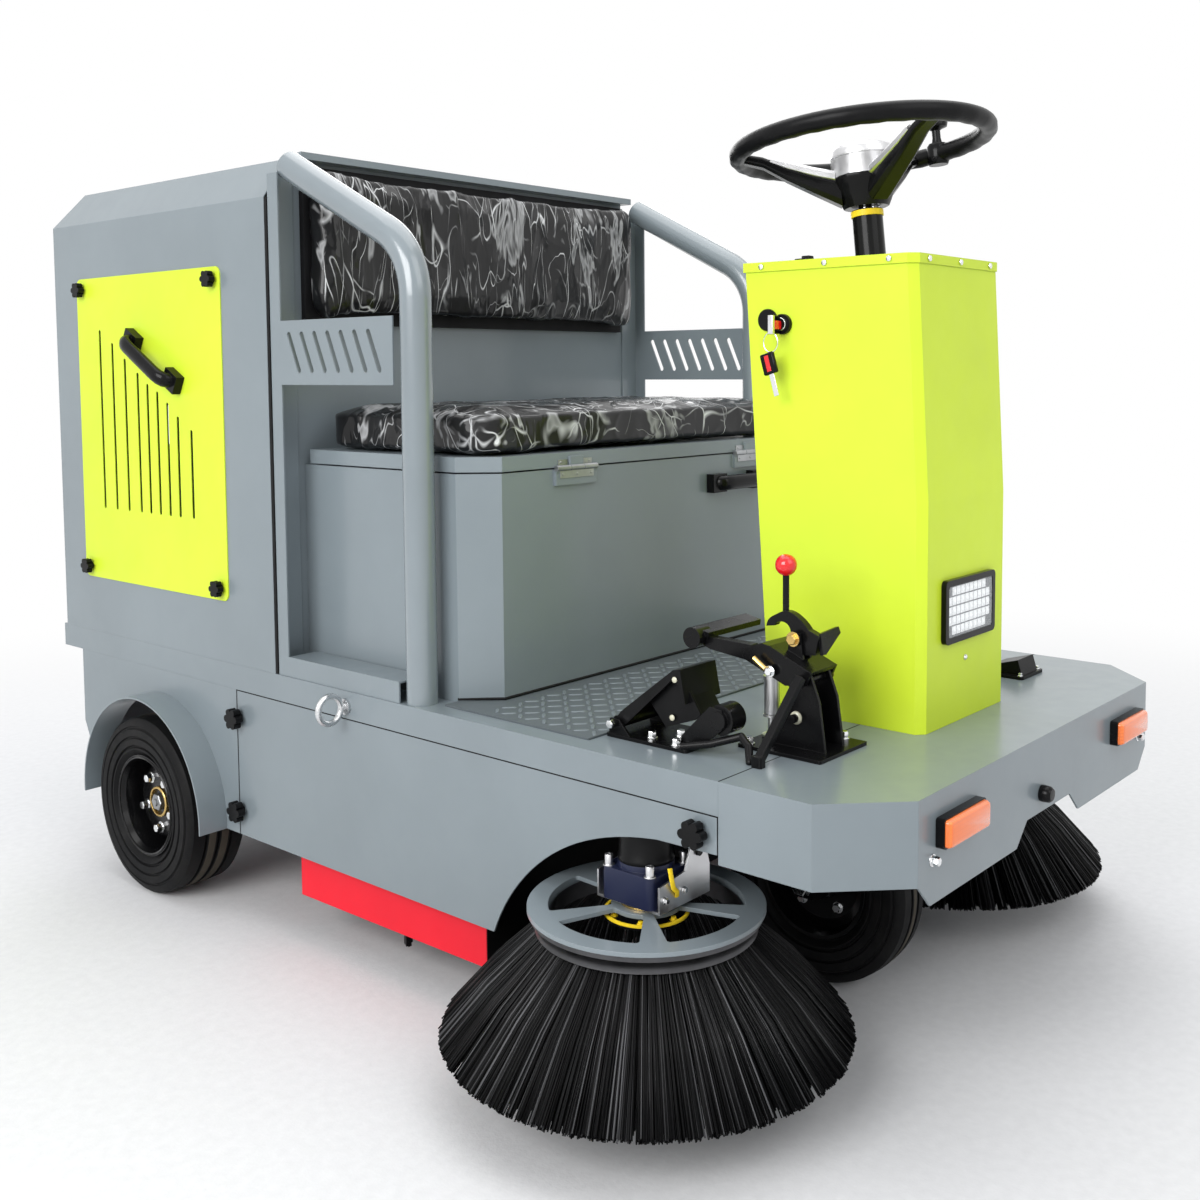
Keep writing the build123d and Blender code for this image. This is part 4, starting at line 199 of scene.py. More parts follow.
def plastic(name, colour, rough=0.45, depth=0.15, coat=0.0, lift=0.35, gloss=0.25):
    """Moulded plastic with a fine grain."""
    n = Nodes(bpy.data.materials.new(name))
    base = n.ramp(n.noise(18, 4), [(0.3, scaled(colour, 0.85)), (0.75, scaled(colour, 1 + lift, 0.002))])
    normal, mask = n.edges(0.0008)
    base = n.mix(n.math("MULTIPLY", mask, 0.25), base, scaled(colour, 2, 0.006))
    grained = n.bump(n.noise(260, 3), depth, 0.0003, normal)
    return n.surface(Base_Color=base, Roughness=n.mottled(40, 3, 0.16, rough), Normal=grained,
                     Coat_Weight=coat, Specular_IOR_Level=gloss)


def rubber(name, colour, rough):
    """Tyre rubber: mould grain, a little dust in patches."""
    n = Nodes(bpy.data.materials.new(name))
    dust = n.ramp(n.noise(14, 8, 0.7), [(0.46, NONE), (0.8, FULL)])
    base = n.mix(n.math("MULTIPLY", dust, 0.14), colour, (0.060, 0.056, 0.050))
    normal, _ = n.edges(0.001)
    return n.surface(Base_Color=base, Roughness=n.mottled(50, 3, 0.2, rough), Specular_IOR_Level=0.12,
                     Normal=n.bump(n.noise(300, 3), 0.2, 0.0004, normal))


def lens(name, colour, cell, rough, glow=0.0):
    """Moulded lens with a grid of small prisms."""
    n = Nodes(bpy.data.materials.new(name))
    grid = n.add("ShaderNodeTexVoronoi", Vector=n.coords(), Scale=cell, distance="CHEBYCHEV", Randomness=0.0)
    off = grid.outputs["Distance"]
    shade = n.ramp(off, [(0.0, scaled(colour, 1.2, 0.01, most=1)), (0.9, scaled(colour, 0.55))])
    if glow:
        n.surface(Emission_Color=shade, Emission_Strength=glow)
    return n.surface(Base_Color=shade, Normal=n.bump(off, 0.6, 0.0015), Roughness=rough, Coat_Weight=1.0,
                     Coat_Roughness=0.04)


def clear_glass(name):
    n = Nodes(bpy.data.materials.new(name))
    return n.surface(Base_Color=(0.9, 0.93, 0.95), Roughness=0.04, Alpha=0.22,
                     Normal=n.bump(n.noise(40, 2), 0.05, 0.0005))


def wrapped_vinyl(name, stretch, turn):
    """Black vinyl under clear crumpled film: flat facets that catch the light, and painted highlights in the
    base colour: thin white creases and light grey reflections of the film.
    """
    n = Nodes(bpy.data.materials.new(name))
    straight = n.coords(stretch, turn)
    bend = n.add("ShaderNodeTexNoise", Vector=straight, Scale=4.0, Detail=2.0)
    vector = n.vector("MULTIPLY_ADD", bend.outputs["Color"], (0.22, 0.22, 0.22), straight)
    # painted highlights of the film's creases: edges of long cells, and lines where a noise crosses its
    # middle value, in patches
    pale = None
    for kind, scale, width, patch in (("cell", 6.0, 0.011, 6.0), ("cell", 11.0, 0.016, 9.0),
                                      ("noise", 8.0, 0.007, 8.0), ("noise", 17.0, 0.012, 10.0)):
        if kind == "cell":
            cells = n.add("ShaderNodeTexVoronoi", Vector=vector, Scale=scale, feature="DISTANCE_TO_EDGE")
            off = cells.outputs["Distance"]
        else:
            off = n.math("ABSOLUTE", n.math("SUBTRACT", n.noise(scale, 1.5, 0.5, vector), 0.5))
        where = n.ramp(n.noise(patch, 3.0, 0.6), [(0.48, NONE), (0.64, FULL)])
        line = n.mix(1.0, n.ramp(off, [(0.0, FULL), (width, NONE)]), where, "MULTIPLY")
        pale = line if pale is None else n.mix(1.0, pale, line, "LIGHTEN")
    # painted reflections: light grey patches where the film stands off the vinyl
    painted_sheen = n.ramp(n.noise(10.0, 3.0, 0.6, vector),
                    [(0.60, NONE), (0.635, (0.40, 0.40, 0.40)), (0.70, (0.03, 0.03, 0.03))])
    pale = n.mix(1.0, pale, painted_sheen, "LIGHTEN")
    # facets of the film, each tilted by its cell's colour
    cell = n.add("ShaderNodeTexVoronoi", Vector=vector, Scale=17.0)
    tilt = n.vector("SUBTRACT", cell.outputs["Color"], (0.5, 0.5, 0.5))
    bent = n.vector("MULTIPLY_ADD", tilt, (0.55,) * 3, n.add("ShaderNodeNewGeometry").outputs["Normal"])
    waves = n.noise(15.0, 3.0, 0.5, vector)
    film = n.bump(waves, 0.8, 0.004, n.vector("NORMALIZE", bent))
    # base colour: near black vinyl, with the painted highlights mixed in near white
    return n.surface(Base_Color=n.mix(pale, (0.004, 0.004, 0.0045), (0.80, 0.81, 0.82)), Roughness=0.42,
                     Normal=n.bump(waves, 0.5, 0.003), Specular_IOR_Level=0.2, Coat_Normal=film,
                     Coat_Weight=0.55, Coat_Roughness=0.06, Coat_IOR=1.4)


def strands(name):
    """Polypropylene strands: near black, a few of them painted light grey as highlights of strands catching
    the light; each has its own shade.
    """
    n = Nodes(bpy.data.materials.new(name))
    shade = n.add("ShaderNodeAttribute", attribute_name="shade").outputs["Fac"]
    # the top end of the ramp is a painted highlight, on the few strands with the highest values
    colour = n.ramp(shade, [(0.0, (0.0015, 0.0015, 0.0018)), (0.78, (0.0045, 0.0045, 0.005)),
                            (1.0, (0.12, 0.12, 0.125))])
    return n.surface(Base_Color=colour, Roughness=0.36, Specular_IOR_Level=0.18)


GREY = (0.187, 0.221, 0.240)
LIME = (0.59, 0.755, 0.030)
BLACK = (0.003, 0.003, 0.0034)
LOOKS = (
    (painted, "body_paint", GREY, dict(rough=0.33, coat=0.4)),
    (painted, "lime_paint", LIME, dict(rough=0.45, coat=0.08, dust=0.02, wear=0.15)),
    (painted, "red_paint", (0.74, 0.006, 0.022), dict(rough=0.5, coat=0.04, dust=0.03, gloss=0.25)),
    (painted, "black_paint", BLACK, dict(rough=0.26, coat=0.06, dust=0.03, wear=0.10, gloss=0.14)),
    (painted, "rim_paint", BLACK, dict(rough=0.18, coat=0.2, dust=0.03, wear=0.12, gloss=0.2)),
    (painted, "navy_paint", (0.012, 0.016, 0.045),
     dict(rough=0.34, coat=0.1, dust=0.05, wear=0.2, gloss=0.3)),
    (painted, "tube_paint", GREY, dict(rough=0.22, coat=0.8, wear=0.2, gloss=0.5)),
    (painted, "ring_paint", (0.20, 0.235, 0.255), dict(rough=0.34, coat=0.3, wear=0.35)),
    (painted, "mat_paint", scaled(GREY, 0.50), dict(rough=0.5, coat=0.0, dust=0.4)),
    (painted, "bar_paint", scaled(GREY, 0.80), dict(rough=0.42, coat=0.1, wear=0.4)),
    (metal, "zinc", (0.72, 0.73, 0.74), dict(rough=0.26)),
    (metal, "chrome", (0.86, 0.87, 0.88), dict(rough=0.14, spots=0.08)),
    (metal, "satin", (0.70, 0.70, 0.71), dict(rough=0.34, spots=0.06)),
    (metal, "dull_zinc", (0.42, 0.43, 0.44), dict(rough=0.42, spots=0.3)),
    (metal, "drum", (0.10, 0.10, 0.105), dict(rough=0.38, grain=30)),
    (metal, "brass", (0.72, 0.50, 0.18), dict(rough=0.26)),
    (plastic, "worn_tread", (0.060, 0.053, 0.042), dict(rough=0.75, gloss=0.1)),
    (plastic, "black_plastic", (0.004, 0.004, 0.0044), dict(rough=0.34, gloss=0.13)),
    (plastic, "gloss_black", BLACK, dict(rough=0.2, depth=0.05, coat=0.06, gloss=0.14)),
    (plastic, "red_plastic", (0.75, 0.006, 0.010),
     dict(rough=0.16, depth=0.02, coat=0.5, lift=0.05, gloss=0.5)),
    (plastic, "yellow", (0.85, 0.60, 0.02), dict(rough=0.4, depth=0.05)),
    (plastic, "back_dark", (0.006, 0.006, 0.007), dict(rough=0.7)),
    (plastic, "pale_screw", (0.62, 0.60, 0.46), dict(rough=0.3, depth=0.05, coat=0.3, lift=0.1, gloss=0.5)),
    (rubber, "tyre", (0.0055, 0.0055, 0.006), dict(rough=0.55)),
    (rubber, "rubber", (0.007, 0.007, 0.0075), dict(rough=0.5)),
    (lens, "amber_lens", (1.0, 0.16, 0.004), dict(cell=190, rough=0.12, glow=0.12)),
    (lens, "lamp_lens", (0.75, 0.78, 0.80), dict(cell=150, rough=0.1)),
    (lens, "lamp_white", (0.90, 0.92, 0.94), dict(cell=210, rough=0.2, glow=0.5)),
)
M = {name: make(name, colour, **options) for make, name, colour, options in LOOKS}
M["lamp_glass"] = clear_glass("lamp_glass")
M["seat_wrap"] = wrapped_vinyl("seat_wrap", (1.0, 1.7, 0.8), (0.1, 0.3, 0.5))
M["back_wrap"] = wrapped_vinyl("back_wrap", (2.1, 1.0, 0.62), (0.0, 0.42, 0.0))
M["bristle"] = strands("bristle")

# A node of the part shows the look of its slot, apart from these.
CAD_LOOK = {
    "hoops": "tube_paint",
    "tread_mat": "mat_paint",
    "front_rim": "rim_paint",
    "headlight": "gloss_black",
    "steering_column": "gloss_black",
    "battery_pack": "black_plastic",
    "back_board": "back_dark",
    "brake_cylinder": "satin",
}
for _, side in SIDES:
    CAD_LOOK[f"rear_rim_{side}"] = "rim_paint"
    CAD_LOOK[f"brush_disc_{side}"] = "ring_paint"
    CAD_LOOK[f"brush_bracket_{side}"] = "satin"
slot_of = {part["node"]: part["material_slot"] for part in frame["record"]["subparts"]}
for node_name, node in frame["nodes"].items():
    look = CAD_LOOK.get(node_name, slot_of[node_name])
    node.data.materials.clear()
    node.data.materials.append(M["seat_wrap" if look == "cushion" else look])


# ---------------------------------------------------------------- mesh helpers
def finish_mesh(name, bm, look, body, slot, smooth=35, bevel=0.0, replaces=()):
    """Make an object of a bmesh, shade it, and let it ride on its body."""
    mesh = bpy.data.meshes.new(name)
    bmesh.ops.recalc_face_normals(bm, faces=bm.faces)
    bm.to_mesh(mesh)
    bm.free()
    obj = bpy.data.objects.new(name, mesh)
    bpy.context.scene.collection.objects.link(obj)
    mesh.materials.append(M[look])
    if bevel:
        mod = obj.modifiers.new("bevel", "BEVEL")
        mod.width = bevel
        mod.segments = 2
        mod.limit_method = "ANGLE"
        mod.angle_limit = math.radians(35)
    for poly in mesh.polygons:
        poly.use_smooth = True
    bpy.context.view_layer.objects.active = obj
    for other in bpy.context.selected_objects:
        other.select_set(False)
    obj.select_set(True)
    bpy.ops.object.shade_smooth_by_angle(angle=math.radians(smooth))
    obj.select_set(False)
    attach(obj, body)
    if replaces:
        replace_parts(obj, *replaces)
    return obj


# the slot of the part that a look belongs to, where its name is another one
SLOT = {
    "gloss_black": "black_plastic", "rubber": "black_plastic", "yellow": "black_plastic", "chrome": "zinc",
    "satin": "zinc", "brass": "zinc", "dull_zinc": "zinc", "pale_screw": "zinc", "rim_paint": "black_paint",
    "worn_tread": "tyre", "lamp_white": "lamp_lens", "lamp_glass": "lamp_lens", "bar_paint": "body_paint",
    "drum": "body_paint",
}


def piece(name, look, body, slot=None, **options):
    """One object of what the function below it puts into a bmesh."""
    def build(fill):
        bm = bmesh.new()
        fill(bm)
        finish_mesh(name, bm, look, body, slot or SLOT.get(look, look), **options)
        return fill
    return build


def turned(name, look, body, centre, axis, profile, segments=32, **options):
    """One object turned from a profile of (height, radius) pairs in mm."""
    piece(name, look, body, **options)(lambda bm: lathe(bm, centre, axis, profile, segments))


def bolted(name, look, body, rows):
    """One object of bolts, each row being (place, outward axis, size, head, kind)."""
    @piece(name, look, body)
    def bolts(bm):
        for row in rows:
            bolt(bm, *row)


def on_circle(centre, u, v, radius, degrees):
    """Point of a circle in the plane of u and v."""
    a = math.radians(degrees)
    return centre + u * (radius * math.cos(a)) + v * (radius * math.sin(a))


def bridge(bm, rings):
    """Quads between neighbouring rings of as many vertices."""
    for a, b in zip(rings, rings[1:]):
        for k in range(len(a)):
            j = (k + 1) % len(a)
            bm.faces.new((a[k], b[k], b[j], a[j]))


def loft(bm, rings):
    """A closed solid through rings of as many vertices."""
    bridge(bm, rings)
    bm.faces.new(rings[0][::-1])
    bm.faces.new(rings[-1])


def lathe(bm, centre, axis, profile, segments=32, start=0.0):
    """Turn (height, radius) pairs in mm about an axis; a radius of 0 closes the end."""
    w = Vector(axis).normalized()
    u = w.cross(X if abs(w.z) > 0.95 else Z).normalized()
    v = w.cross(u).normalized()
    centre = Vector(centre)
    rings = []
    for height, radius in profile:
        middle = centre + w * (height * MM)
        if radius == 0:
            rings.append([bm.verts.new(middle)])
            continue
        turns = [math.degrees(start) + 360 * i / segments for i in range(segments)]
        rings.append([bm.verts.new(on_circle(middle, u, v, radius * MM, turn)) for turn in turns])
    for a, b in zip(rings, rings[1:]):
        if len(a) > 1 and len(b) > 1:
            bridge(bm, (a, b))
        elif len(a) > 1 or len(b) > 1:
            tip, ring = (a[0], b) if len(a) == 1 else (b[0], a)
            for i in range(segments):
                bm.faces.new((tip, ring[i], ring[(i + 1) % segments]))


def sweep(bm, points, radius, segments=12, closed=False, flat=1.0, hint=Z):
    """A round or flattened bar through points."""
    points = [Vector(p) for p in points]
    last = len(points) - 1
    rings = []
    u = None
    for i, p in enumerate(points):
        if closed:
            t = (points[(i + 1) % len(points)] - points[i - 1]).normalized()
        else:
            t = (points[min(i + 1, last)] - points[max(i - 1, 0)]).normalized()
        if u is None:
            u = t.cross(hint)
            if u.length < 0.1:
                u = t.cross(X)
        else:
            u = u - t * u.dot(t)
        u.normalize()
        v = t.cross(u) * flat
        rings.append([bm.verts.new(on_circle(p, u, v, radius, 360 * k / segments)) for k in range(segments)])
    if closed:
        bridge(bm, rings + rings[:1])
    else:
        loft(bm, rings)


def slab(bm, centre, half, axes=(X, Y, Z)):
    """A box of half sizes along three axes."""
    c = Vector(centre)
    corners = [[c + axes[0] * (half[0] * sx) + axes[1] * (half[1] * sy) + axes[2] * (half[2] * sz)
                for sx, sy in ((-1, -1), (1, -1), (1, 1), (-1, 1))] for sz in (-1, 1)]
    loft(bm, [[bm.verts.new(p) for p in ring] for ring in corners])


def prism(bm, outline, origin, u, v, w, depth):
    """Extrude an outline of (a, b) pairs in the plane u, v by depth along w."""
    origin = Vector(origin)
    loft(bm, [[bm.verts.new(origin + u * a + v * b + w * rise) for a, b in outline] for rise in (0, depth)])


def bolt(bm, at, out, size, head, kind="washer hex"):
    """Screw standing on a surface, with a hex, dome or socket head and perhaps a washer; sizes in mm."""
    low = 0.0
    if "washer" in kind:
        low = 1.2
        lathe(bm, at, out, [(0, 0), (0, size * 1.05), (low, size * 1.02), (low, 0)], 20)
    if "dome" in kind:
        lathe(bm, at, out, [(low, size * 0.92), (low + head * 0.45, size * 0.86),
                            (low + head * 0.85, size * 0.5), (low + head, 0)], 16)
    elif "socket" in kind:
        r = size * 0.72
        rim, well = low + head * 1.05, low + head * 0.5
        profile = [(low, r), (low + head, r), (rim, r * 0.92), (rim, r * 0.5), (well, r * 0.5), (well, 0)]
        lathe(bm, at, out, profile, 16)
    else:
        r = size * 0.8
        lathe(bm, at, out, [(low, r), (low + head * 0.85, r), (low + head, r * 0.86), (low + head, 0)], 6,
              start=0.2)


def rounded_corners(half_wide, half_tall, radius):
    """(across, up) points of a rounded rectangle, whose arcs have their centres at the half sizes."""
    points = []
    for sx, sz, start in ((1, 1, 0), (-1, 1, 90), (-1, -1, 180), (1, -1, 270)):
        for k in range(5):
            a = math.radians(start + 22.5 * k)
            points.append((sx * half_wide + radius * math.cos(a), sz * half_tall + radius * math.sin(a)))
    return points


# ---------------------------------------------------------------- cushions under crumpled film
CELL = 0.012            # size of the simulated mesh's cells
FRAMES = 20


def even_box(low, high):
    """A closed box of even cells between two corners."""
    bm = bmesh.new()
    size = high - low
    count = [max(3, round(size[k] / CELL)) for k in range(3)]
    index = {}

    def vert(key):
        if key not in index:
            share = Vector([key[k] / count[k] for k in range(3)])
            index[key] = bm.verts.new(Vector([low[k] + size[k] * share[k] for k in range(3)]))
        return index[key]

    for axis in range(3):
        a, b = [k for k in range(3) if k != axis]
        for end in (0, count[axis]):
            for i in range(count[a]):
                for j in range(count[b]):
                    quad = []
                    for di, dj in ((0, 0), (1, 0), (1, 1), (0, 1)):
                        key = [0, 0, 0]
                        key[axis], key[a], key[b] = end, i + di, j + dj
                        quad.append(vert(tuple(key)))
                    bm.faces.new(quad)
    return bm


def swell(obj, most):
    """The vertices after a cloth simulation with pressure, none moved by more than most."""
    rest = np.array([v.co for v in obj.data.vertices])
    cloth = obj.modifiers.new("cloth", "CLOTH")
    settings = cloth.settings
    settings.quality = 6
    settings.mass = 0.3
    settings.use_pressure = True
    settings.uniform_pressure_force = 4.0
    settings.tension_stiffness = settings.compression_stiffness = 12
    settings.bending_stiffness = 0.6
    settings.effector_weights.gravity = 0.0
    cloth.point_cache.frame_start = 1
    cloth.point_cache.frame_end = FRAMES
    scene = bpy.context.scene
    for number in range(1, FRAMES + 1):
        scene.frame_set(number)
    evaluated = obj.evaluated_get(bpy.context.evaluated_depsgraph_get())
    step = np.array([v.co for v in evaluated.data.vertices]) - rest
    scene.frame_set(1)
    obj.modifiers.remove(cloth)
    length = np.linalg.norm(step, axis=1, keepdims=True)
    return rest + step * np.minimum(1.0, most / np.maximum(length, 1e-9))


def make_cushion(name, node, look, corner, inset, up, sign, crown):
    """Pad swollen by cloth simulation in its CAD solid's space, crowned on the side of up that sign gives."""
    low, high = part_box(node)
    size = high - low
    centre = (low + high) / 2
    margin = Vector((inset,) * 3)
    bm = even_box(low + margin, high - margin)
    # round the corners of the plan
    a, b = [k for k in range(3) if k != up]
    half = [size[k] / 2 - inset for k in range(3)]
    for v in bm.verts:
        p = [v.co[k] - centre[k] for k in range(3)]
        over_a, over_b = abs(p[a]) - (half[a] - corner), abs(p[b]) - (half[b] - corner)
        if over_a > 0 and over_b > 0:
            pull = max(over_a, over_b) / math.hypot(over_a, over_b)
            p[a] = math.copysign(half[a] - corner + over_a * pull, p[a])
            p[b] = math.copysign(half[b] - corner + over_b * pull, p[b])
        v.co = Vector([p[k] + centre[k] for k in range(3)])
    bmesh.ops.recalc_face_normals(bm, faces=bm.faces)
    mesh = bpy.data.meshes.new(name)
    bm.to_mesh(mesh)
    bm.free()
    obj = bpy.data.objects.new(name, mesh)
    bpy.context.scene.collection.objects.link(obj)
    moved = swell(obj, inset * 1.6)
    # the outline fills its space; then an even crown on the broad face
    low, high = np.array(low), np.array(high)
    span = high - low
    dome = 1.0
    for k in (a, b):
        least, most = moved[:, k].min(), moved[:, k].max()
        moved[:, k] = low[k] + 0.003 + (moved[:, k] - least) * (span[k] - 0.006) / (most - least)
        share = np.clip((moved[:, k] - low[k]) / span[k], 0, 1)
        dome = dome * np.clip(np.sin(np.pi * share), 0, 1) ** 0.45
    face = high[up] if sign > 0 else low[up]
    depth = np.clip(1 - np.abs(moved[:, up] - face) / span[up], 0, 1)
    moved[:, up] -= sign * crown * (1 - dome) * depth
    moved = np.minimum(np.maximum(moved, low + 0.0015), high - 0.0015)
    mesh.vertices.foreach_set("co", moved.astype(np.float32).ravel())
    mesh.update()
    sub = obj.modifiers.new("subdivide", "SUBSURF")
    sub.levels = sub.render_levels = 2
    evaluated = obj.evaluated_get(bpy.context.evaluated_depsgraph_get())
    final = bpy.data.meshes.new_from_object(evaluated)
    obj.modifiers.clear()
    obj.data = final
    final.materials.append(M[look])
    return obj, low, high


def crumple(obj, low, high, amount, stretch, seed, border):
    """Film folds: sharp ridges, deeper near the sides across the border axes, where the film is bunched."""
    mesh = obj.data
    count = len(mesh.vertices)
    places, normals = np.zeros((2, count * 3), np.float32)
    mesh.vertices.foreach_get("co", places)
    mesh.vertices.foreach_get("normal", normals)
    places, normals = places.reshape(-1, 3), normals.reshape(-1, 3)
    out = places.copy()
    offset = Vector((3.1, 1.7, 0.9)) * seed
    for i, (place, normal) in enumerate(zip(places, normals)):
        p = Vector(place)
        q = p * Vector(stretch) + offset
        warp = noise.noise_vector(q * 3.0) * 0.45
        broad = 1 - abs(noise.noise(q * 5.5 + warp))
        fine = 1 - abs(noise.noise(q * 12.0 + warp * 2))
        ridge = broad ** 9 + fine ** 8 * 0.45 - 0.25
        edge = min(min(abs(p[k] - low[k]), abs(high[k] - p[k])) for k in border)
        bunch = 1.0 + 0.9 * max(0.0, 1 - edge / 0.06)
        out[i] = place + normal * (ridge * amount * bunch)
    out = np.minimum(np.maximum(out, low - 0.004), high + 0.004)
    mesh.vertices.foreach_set("co", out.astype(np.float32).ravel())
    mesh.update()
    for poly in mesh.polygons:
        poly.use_smooth = True


CUSHIONS = (
    dict(name="seat", body="seat_lid", corner=0.045, inset=0.010, up=2, sign=1, crown=0.010,
         amount=0.0020, stretch=(1.0, 1.6, 1.2), seed=1.0, border=(0, 1)),
    dict(name="back", body="chassis", corner=0.030, inset=0.008, up=1, sign=-1, crown=0.008,
         amount=0.0024, stretch=(1.5, 1.0, 0.8), seed=5.0, border=(0, 2)),
)
for row in CUSHIONS:
    name = row["name"]
    shape = {key: row[key] for key in ("corner", "inset", "up", "sign", "crown")}
    folds = {key: row[key] for key in ("amount", "stretch", "seed", "border")}
    pad, pad_low, pad_high = make_cushion(f"{name}_pad", f"{name}_cushion", f"{name}_wrap", **shape)
    crumple(pad, pad_low, pad_high, **folds)
    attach(pad, row["body"])
    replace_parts(pad, f"{name}_cushion")


# ---------------------------------------------------------------- side brushes
TUFTS, STRANDS = 104, 44
STRAND_HALF = 0.00115
# rows of tufts: root radius, root height, tip radius, tip height, strands in a tuft, shift in tufts
TUFT_ROWS = (
    (0.1425, 0.2225, 0.2865, 0.0760, STRANDS, 0.0),
    (0.1345, 0.2225, 0.2660, 0.0745, STRANDS // 2, 0.5),
)


def strand(bm, path, side, twist):
    """A thin three-sided bar through the points of a path, open at its root."""
    across = (path[-1] - path[0]).normalized().cross(side)
    turns = [math.degrees(twist + 2.094 * k) for k in range(3)]
    rings = [[bm.verts.new(on_circle(p, side, across, STRAND_HALF, turn)) for turn in turns] for p in path]
    bridge(bm, rings)
    bm.faces.new(rings[-1])


def side_brush(centre, name, body, seed):
    """Tufts of stiff strands set round the rim of the disc, flaring down and out."""
    rng = random.Random(seed)
    bm = bmesh.new()
    shades = []
    for root_r, root_z, tip_r, tip_z, strands_in_tuft, shift in TUFT_ROWS:
        for tuft in range(TUFTS):
            angle = 2 * math.pi * (tuft + shift) / TUFTS + rng.uniform(-0.004, 0.004)
            out = Vector((math.cos(angle), math.sin(angle), 0))
            side = Vector((-math.sin(angle), math.cos(angle), 0))
            root = centre + Z * root_z + out * root_r
            lean = rng.uniform(-0.004, 0.004)
            reach = rng.uniform(0.990, 1.0)
            for _ in range(strands_in_tuft):
                turn = rng.uniform(0, 2 * math.pi)
                spread = math.sqrt(rng.uniform(0, 1))
                du, dv = math.cos(turn) * spread, math.sin(turn) * spread
                start = root + side * (du * 0.0036) + out * (dv * 0.0042)
                far = tip_r * reach - 0.0035 + dv * 0.0030 - rng.uniform(0, 0.004)
                low = tip_z + 0.0015 + rng.uniform(0, 0.006) + max(0, dv) * 0.004
                sway = du * 0.0084 + lean + rng.uniform(-0.0016, 0.0016)
                end = centre + Z * low + out * far + side * sway
                middle = start.lerp(end, 0.5) + (out + Z) * 0.0035
                # tone of each strand for its nine vertices; the highest values become painted highlights
                shades.extend([rng.random() ** 1.5] * 9)
                strand(bm, (start, middle, end), side, rng.uniform(0, 2.0))
    mesh = bpy.data.meshes.new(name)
    bm.to_mesh(mesh)
    bm.free()
    for poly in mesh.polygons:
        poly.use_smooth = True
    mesh.attributes.new("shade", "FLOAT", "POINT").data.foreach_set("value", shades)
    obj = bpy.data.objects.new(name, mesh)
    bpy.context.scene.collection.objects.link(obj)
    mesh.materials.append(M["bristle"])
    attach(obj, body)
    return obj


for sign, side in SIDES:
    disc, head = f"side_brush_{side}", f"head_{side}"
    centre = Vector((sign * SIDE_BRUSH.x, SIDE_BRUSH.y, 0))
    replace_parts(side_brush(centre, f"tufts_{side}", disc, 11 if sign < 0 else 12), f"side_bristles_{side}")
    # dark drum under the ring, with a rolled lower lip
    turned(f"brush_drum_{side}", "drum", disc, centre, Z,
           [(246.2, 158.5), (240, 159.2), (233, 153), (225, 151.2), (221.5, 152.2), (220.5, 150),
            (221.5, 130), (246.2, 130)], 96)

    @piece(f"brush_flange_{side}", "brass", disc)
    def flange(bm):
        lathe(bm, centre, Z, [(254.4, 0), (254.4, 36), (257, 36), (257, 0)], 48)
        for k in range(4):
            bolt(bm, on_circle(centre + Z * 0.2570, X, Y, 0.028, 45 + 90 * k), Z, 4.5, 2.2, "hex")

    turned(f"brush_hub_plate_{side}", "gloss_black", disc, centre, Z,
           [(237, 30), (237, 59), (240, 59), (240, 30), (237, 30)], 64)

    @piece(f"brush_hub_ring_{side}", "yellow", disc, slot="zinc")
    def hub_ring(bm):
        lathe(bm, centre, Z, [(240, 54.5), (240, 59), (243, 59), (243, 54.5), (240, 54.5)], 64)
        for k in range(6):
            bolt(bm, on_circle(centre + Z * 0.2400, X, Y, 0.047, 30 + 60 * k), Z, 5.0, 3.6)

    bolted(f"gearbox_bolts_{side}", "satin", head,
           [(centre + Vector((dx, dy, 0.307)), Z, 8.0, 13.0, "washer socket")
            for dx in (-0.036, 0.036) for dy in (-0.036, 0.036)])
    bolted(f"ear_bolts_{side}", "chrome", head,
           [(centre + Vector((dx, -0.0552, z)), -Y, 5.0, 4.0) for dx, z in ((-0.028, 0.277), (0.012, 0.280))])

    @piece(f"lead_clip_{side}", "yellow", head)
    def clip(bm):
        # bent strap that holds the motor's lead
        bends = ((-0.018, -0.0555, 0.318), (-0.020, -0.060, 0.306), (-0.016, -0.060, 0.292),
                 (-0.008, -0.060, 0.284), (-0.004, -0.0565, 0.276))
        sweep(bm, [centre + Vector(bend) for bend in bends], 0.0035, 10, flat=0.5)

    turned(f"motor_bands_{side}", "black_plastic", head, centre, Z,
           [(314.5, 38.2), (318, 39.4), (321, 39.4), (324, 37.6), (372, 37.6), (374, 39), (378, 39),
            (380, 37.6), (380.5, 37.6)], 48)


# ---------------------------------------------------------------- main brush
CORE_LENGTH, CORE_R = 872, 52                   # in mm
MAIN_ROWS, MAIN_TUFTS = 10, 84
CORNERS = [math.degrees(2.1 * i) for i in range(3)]     # of a coarse strand's section


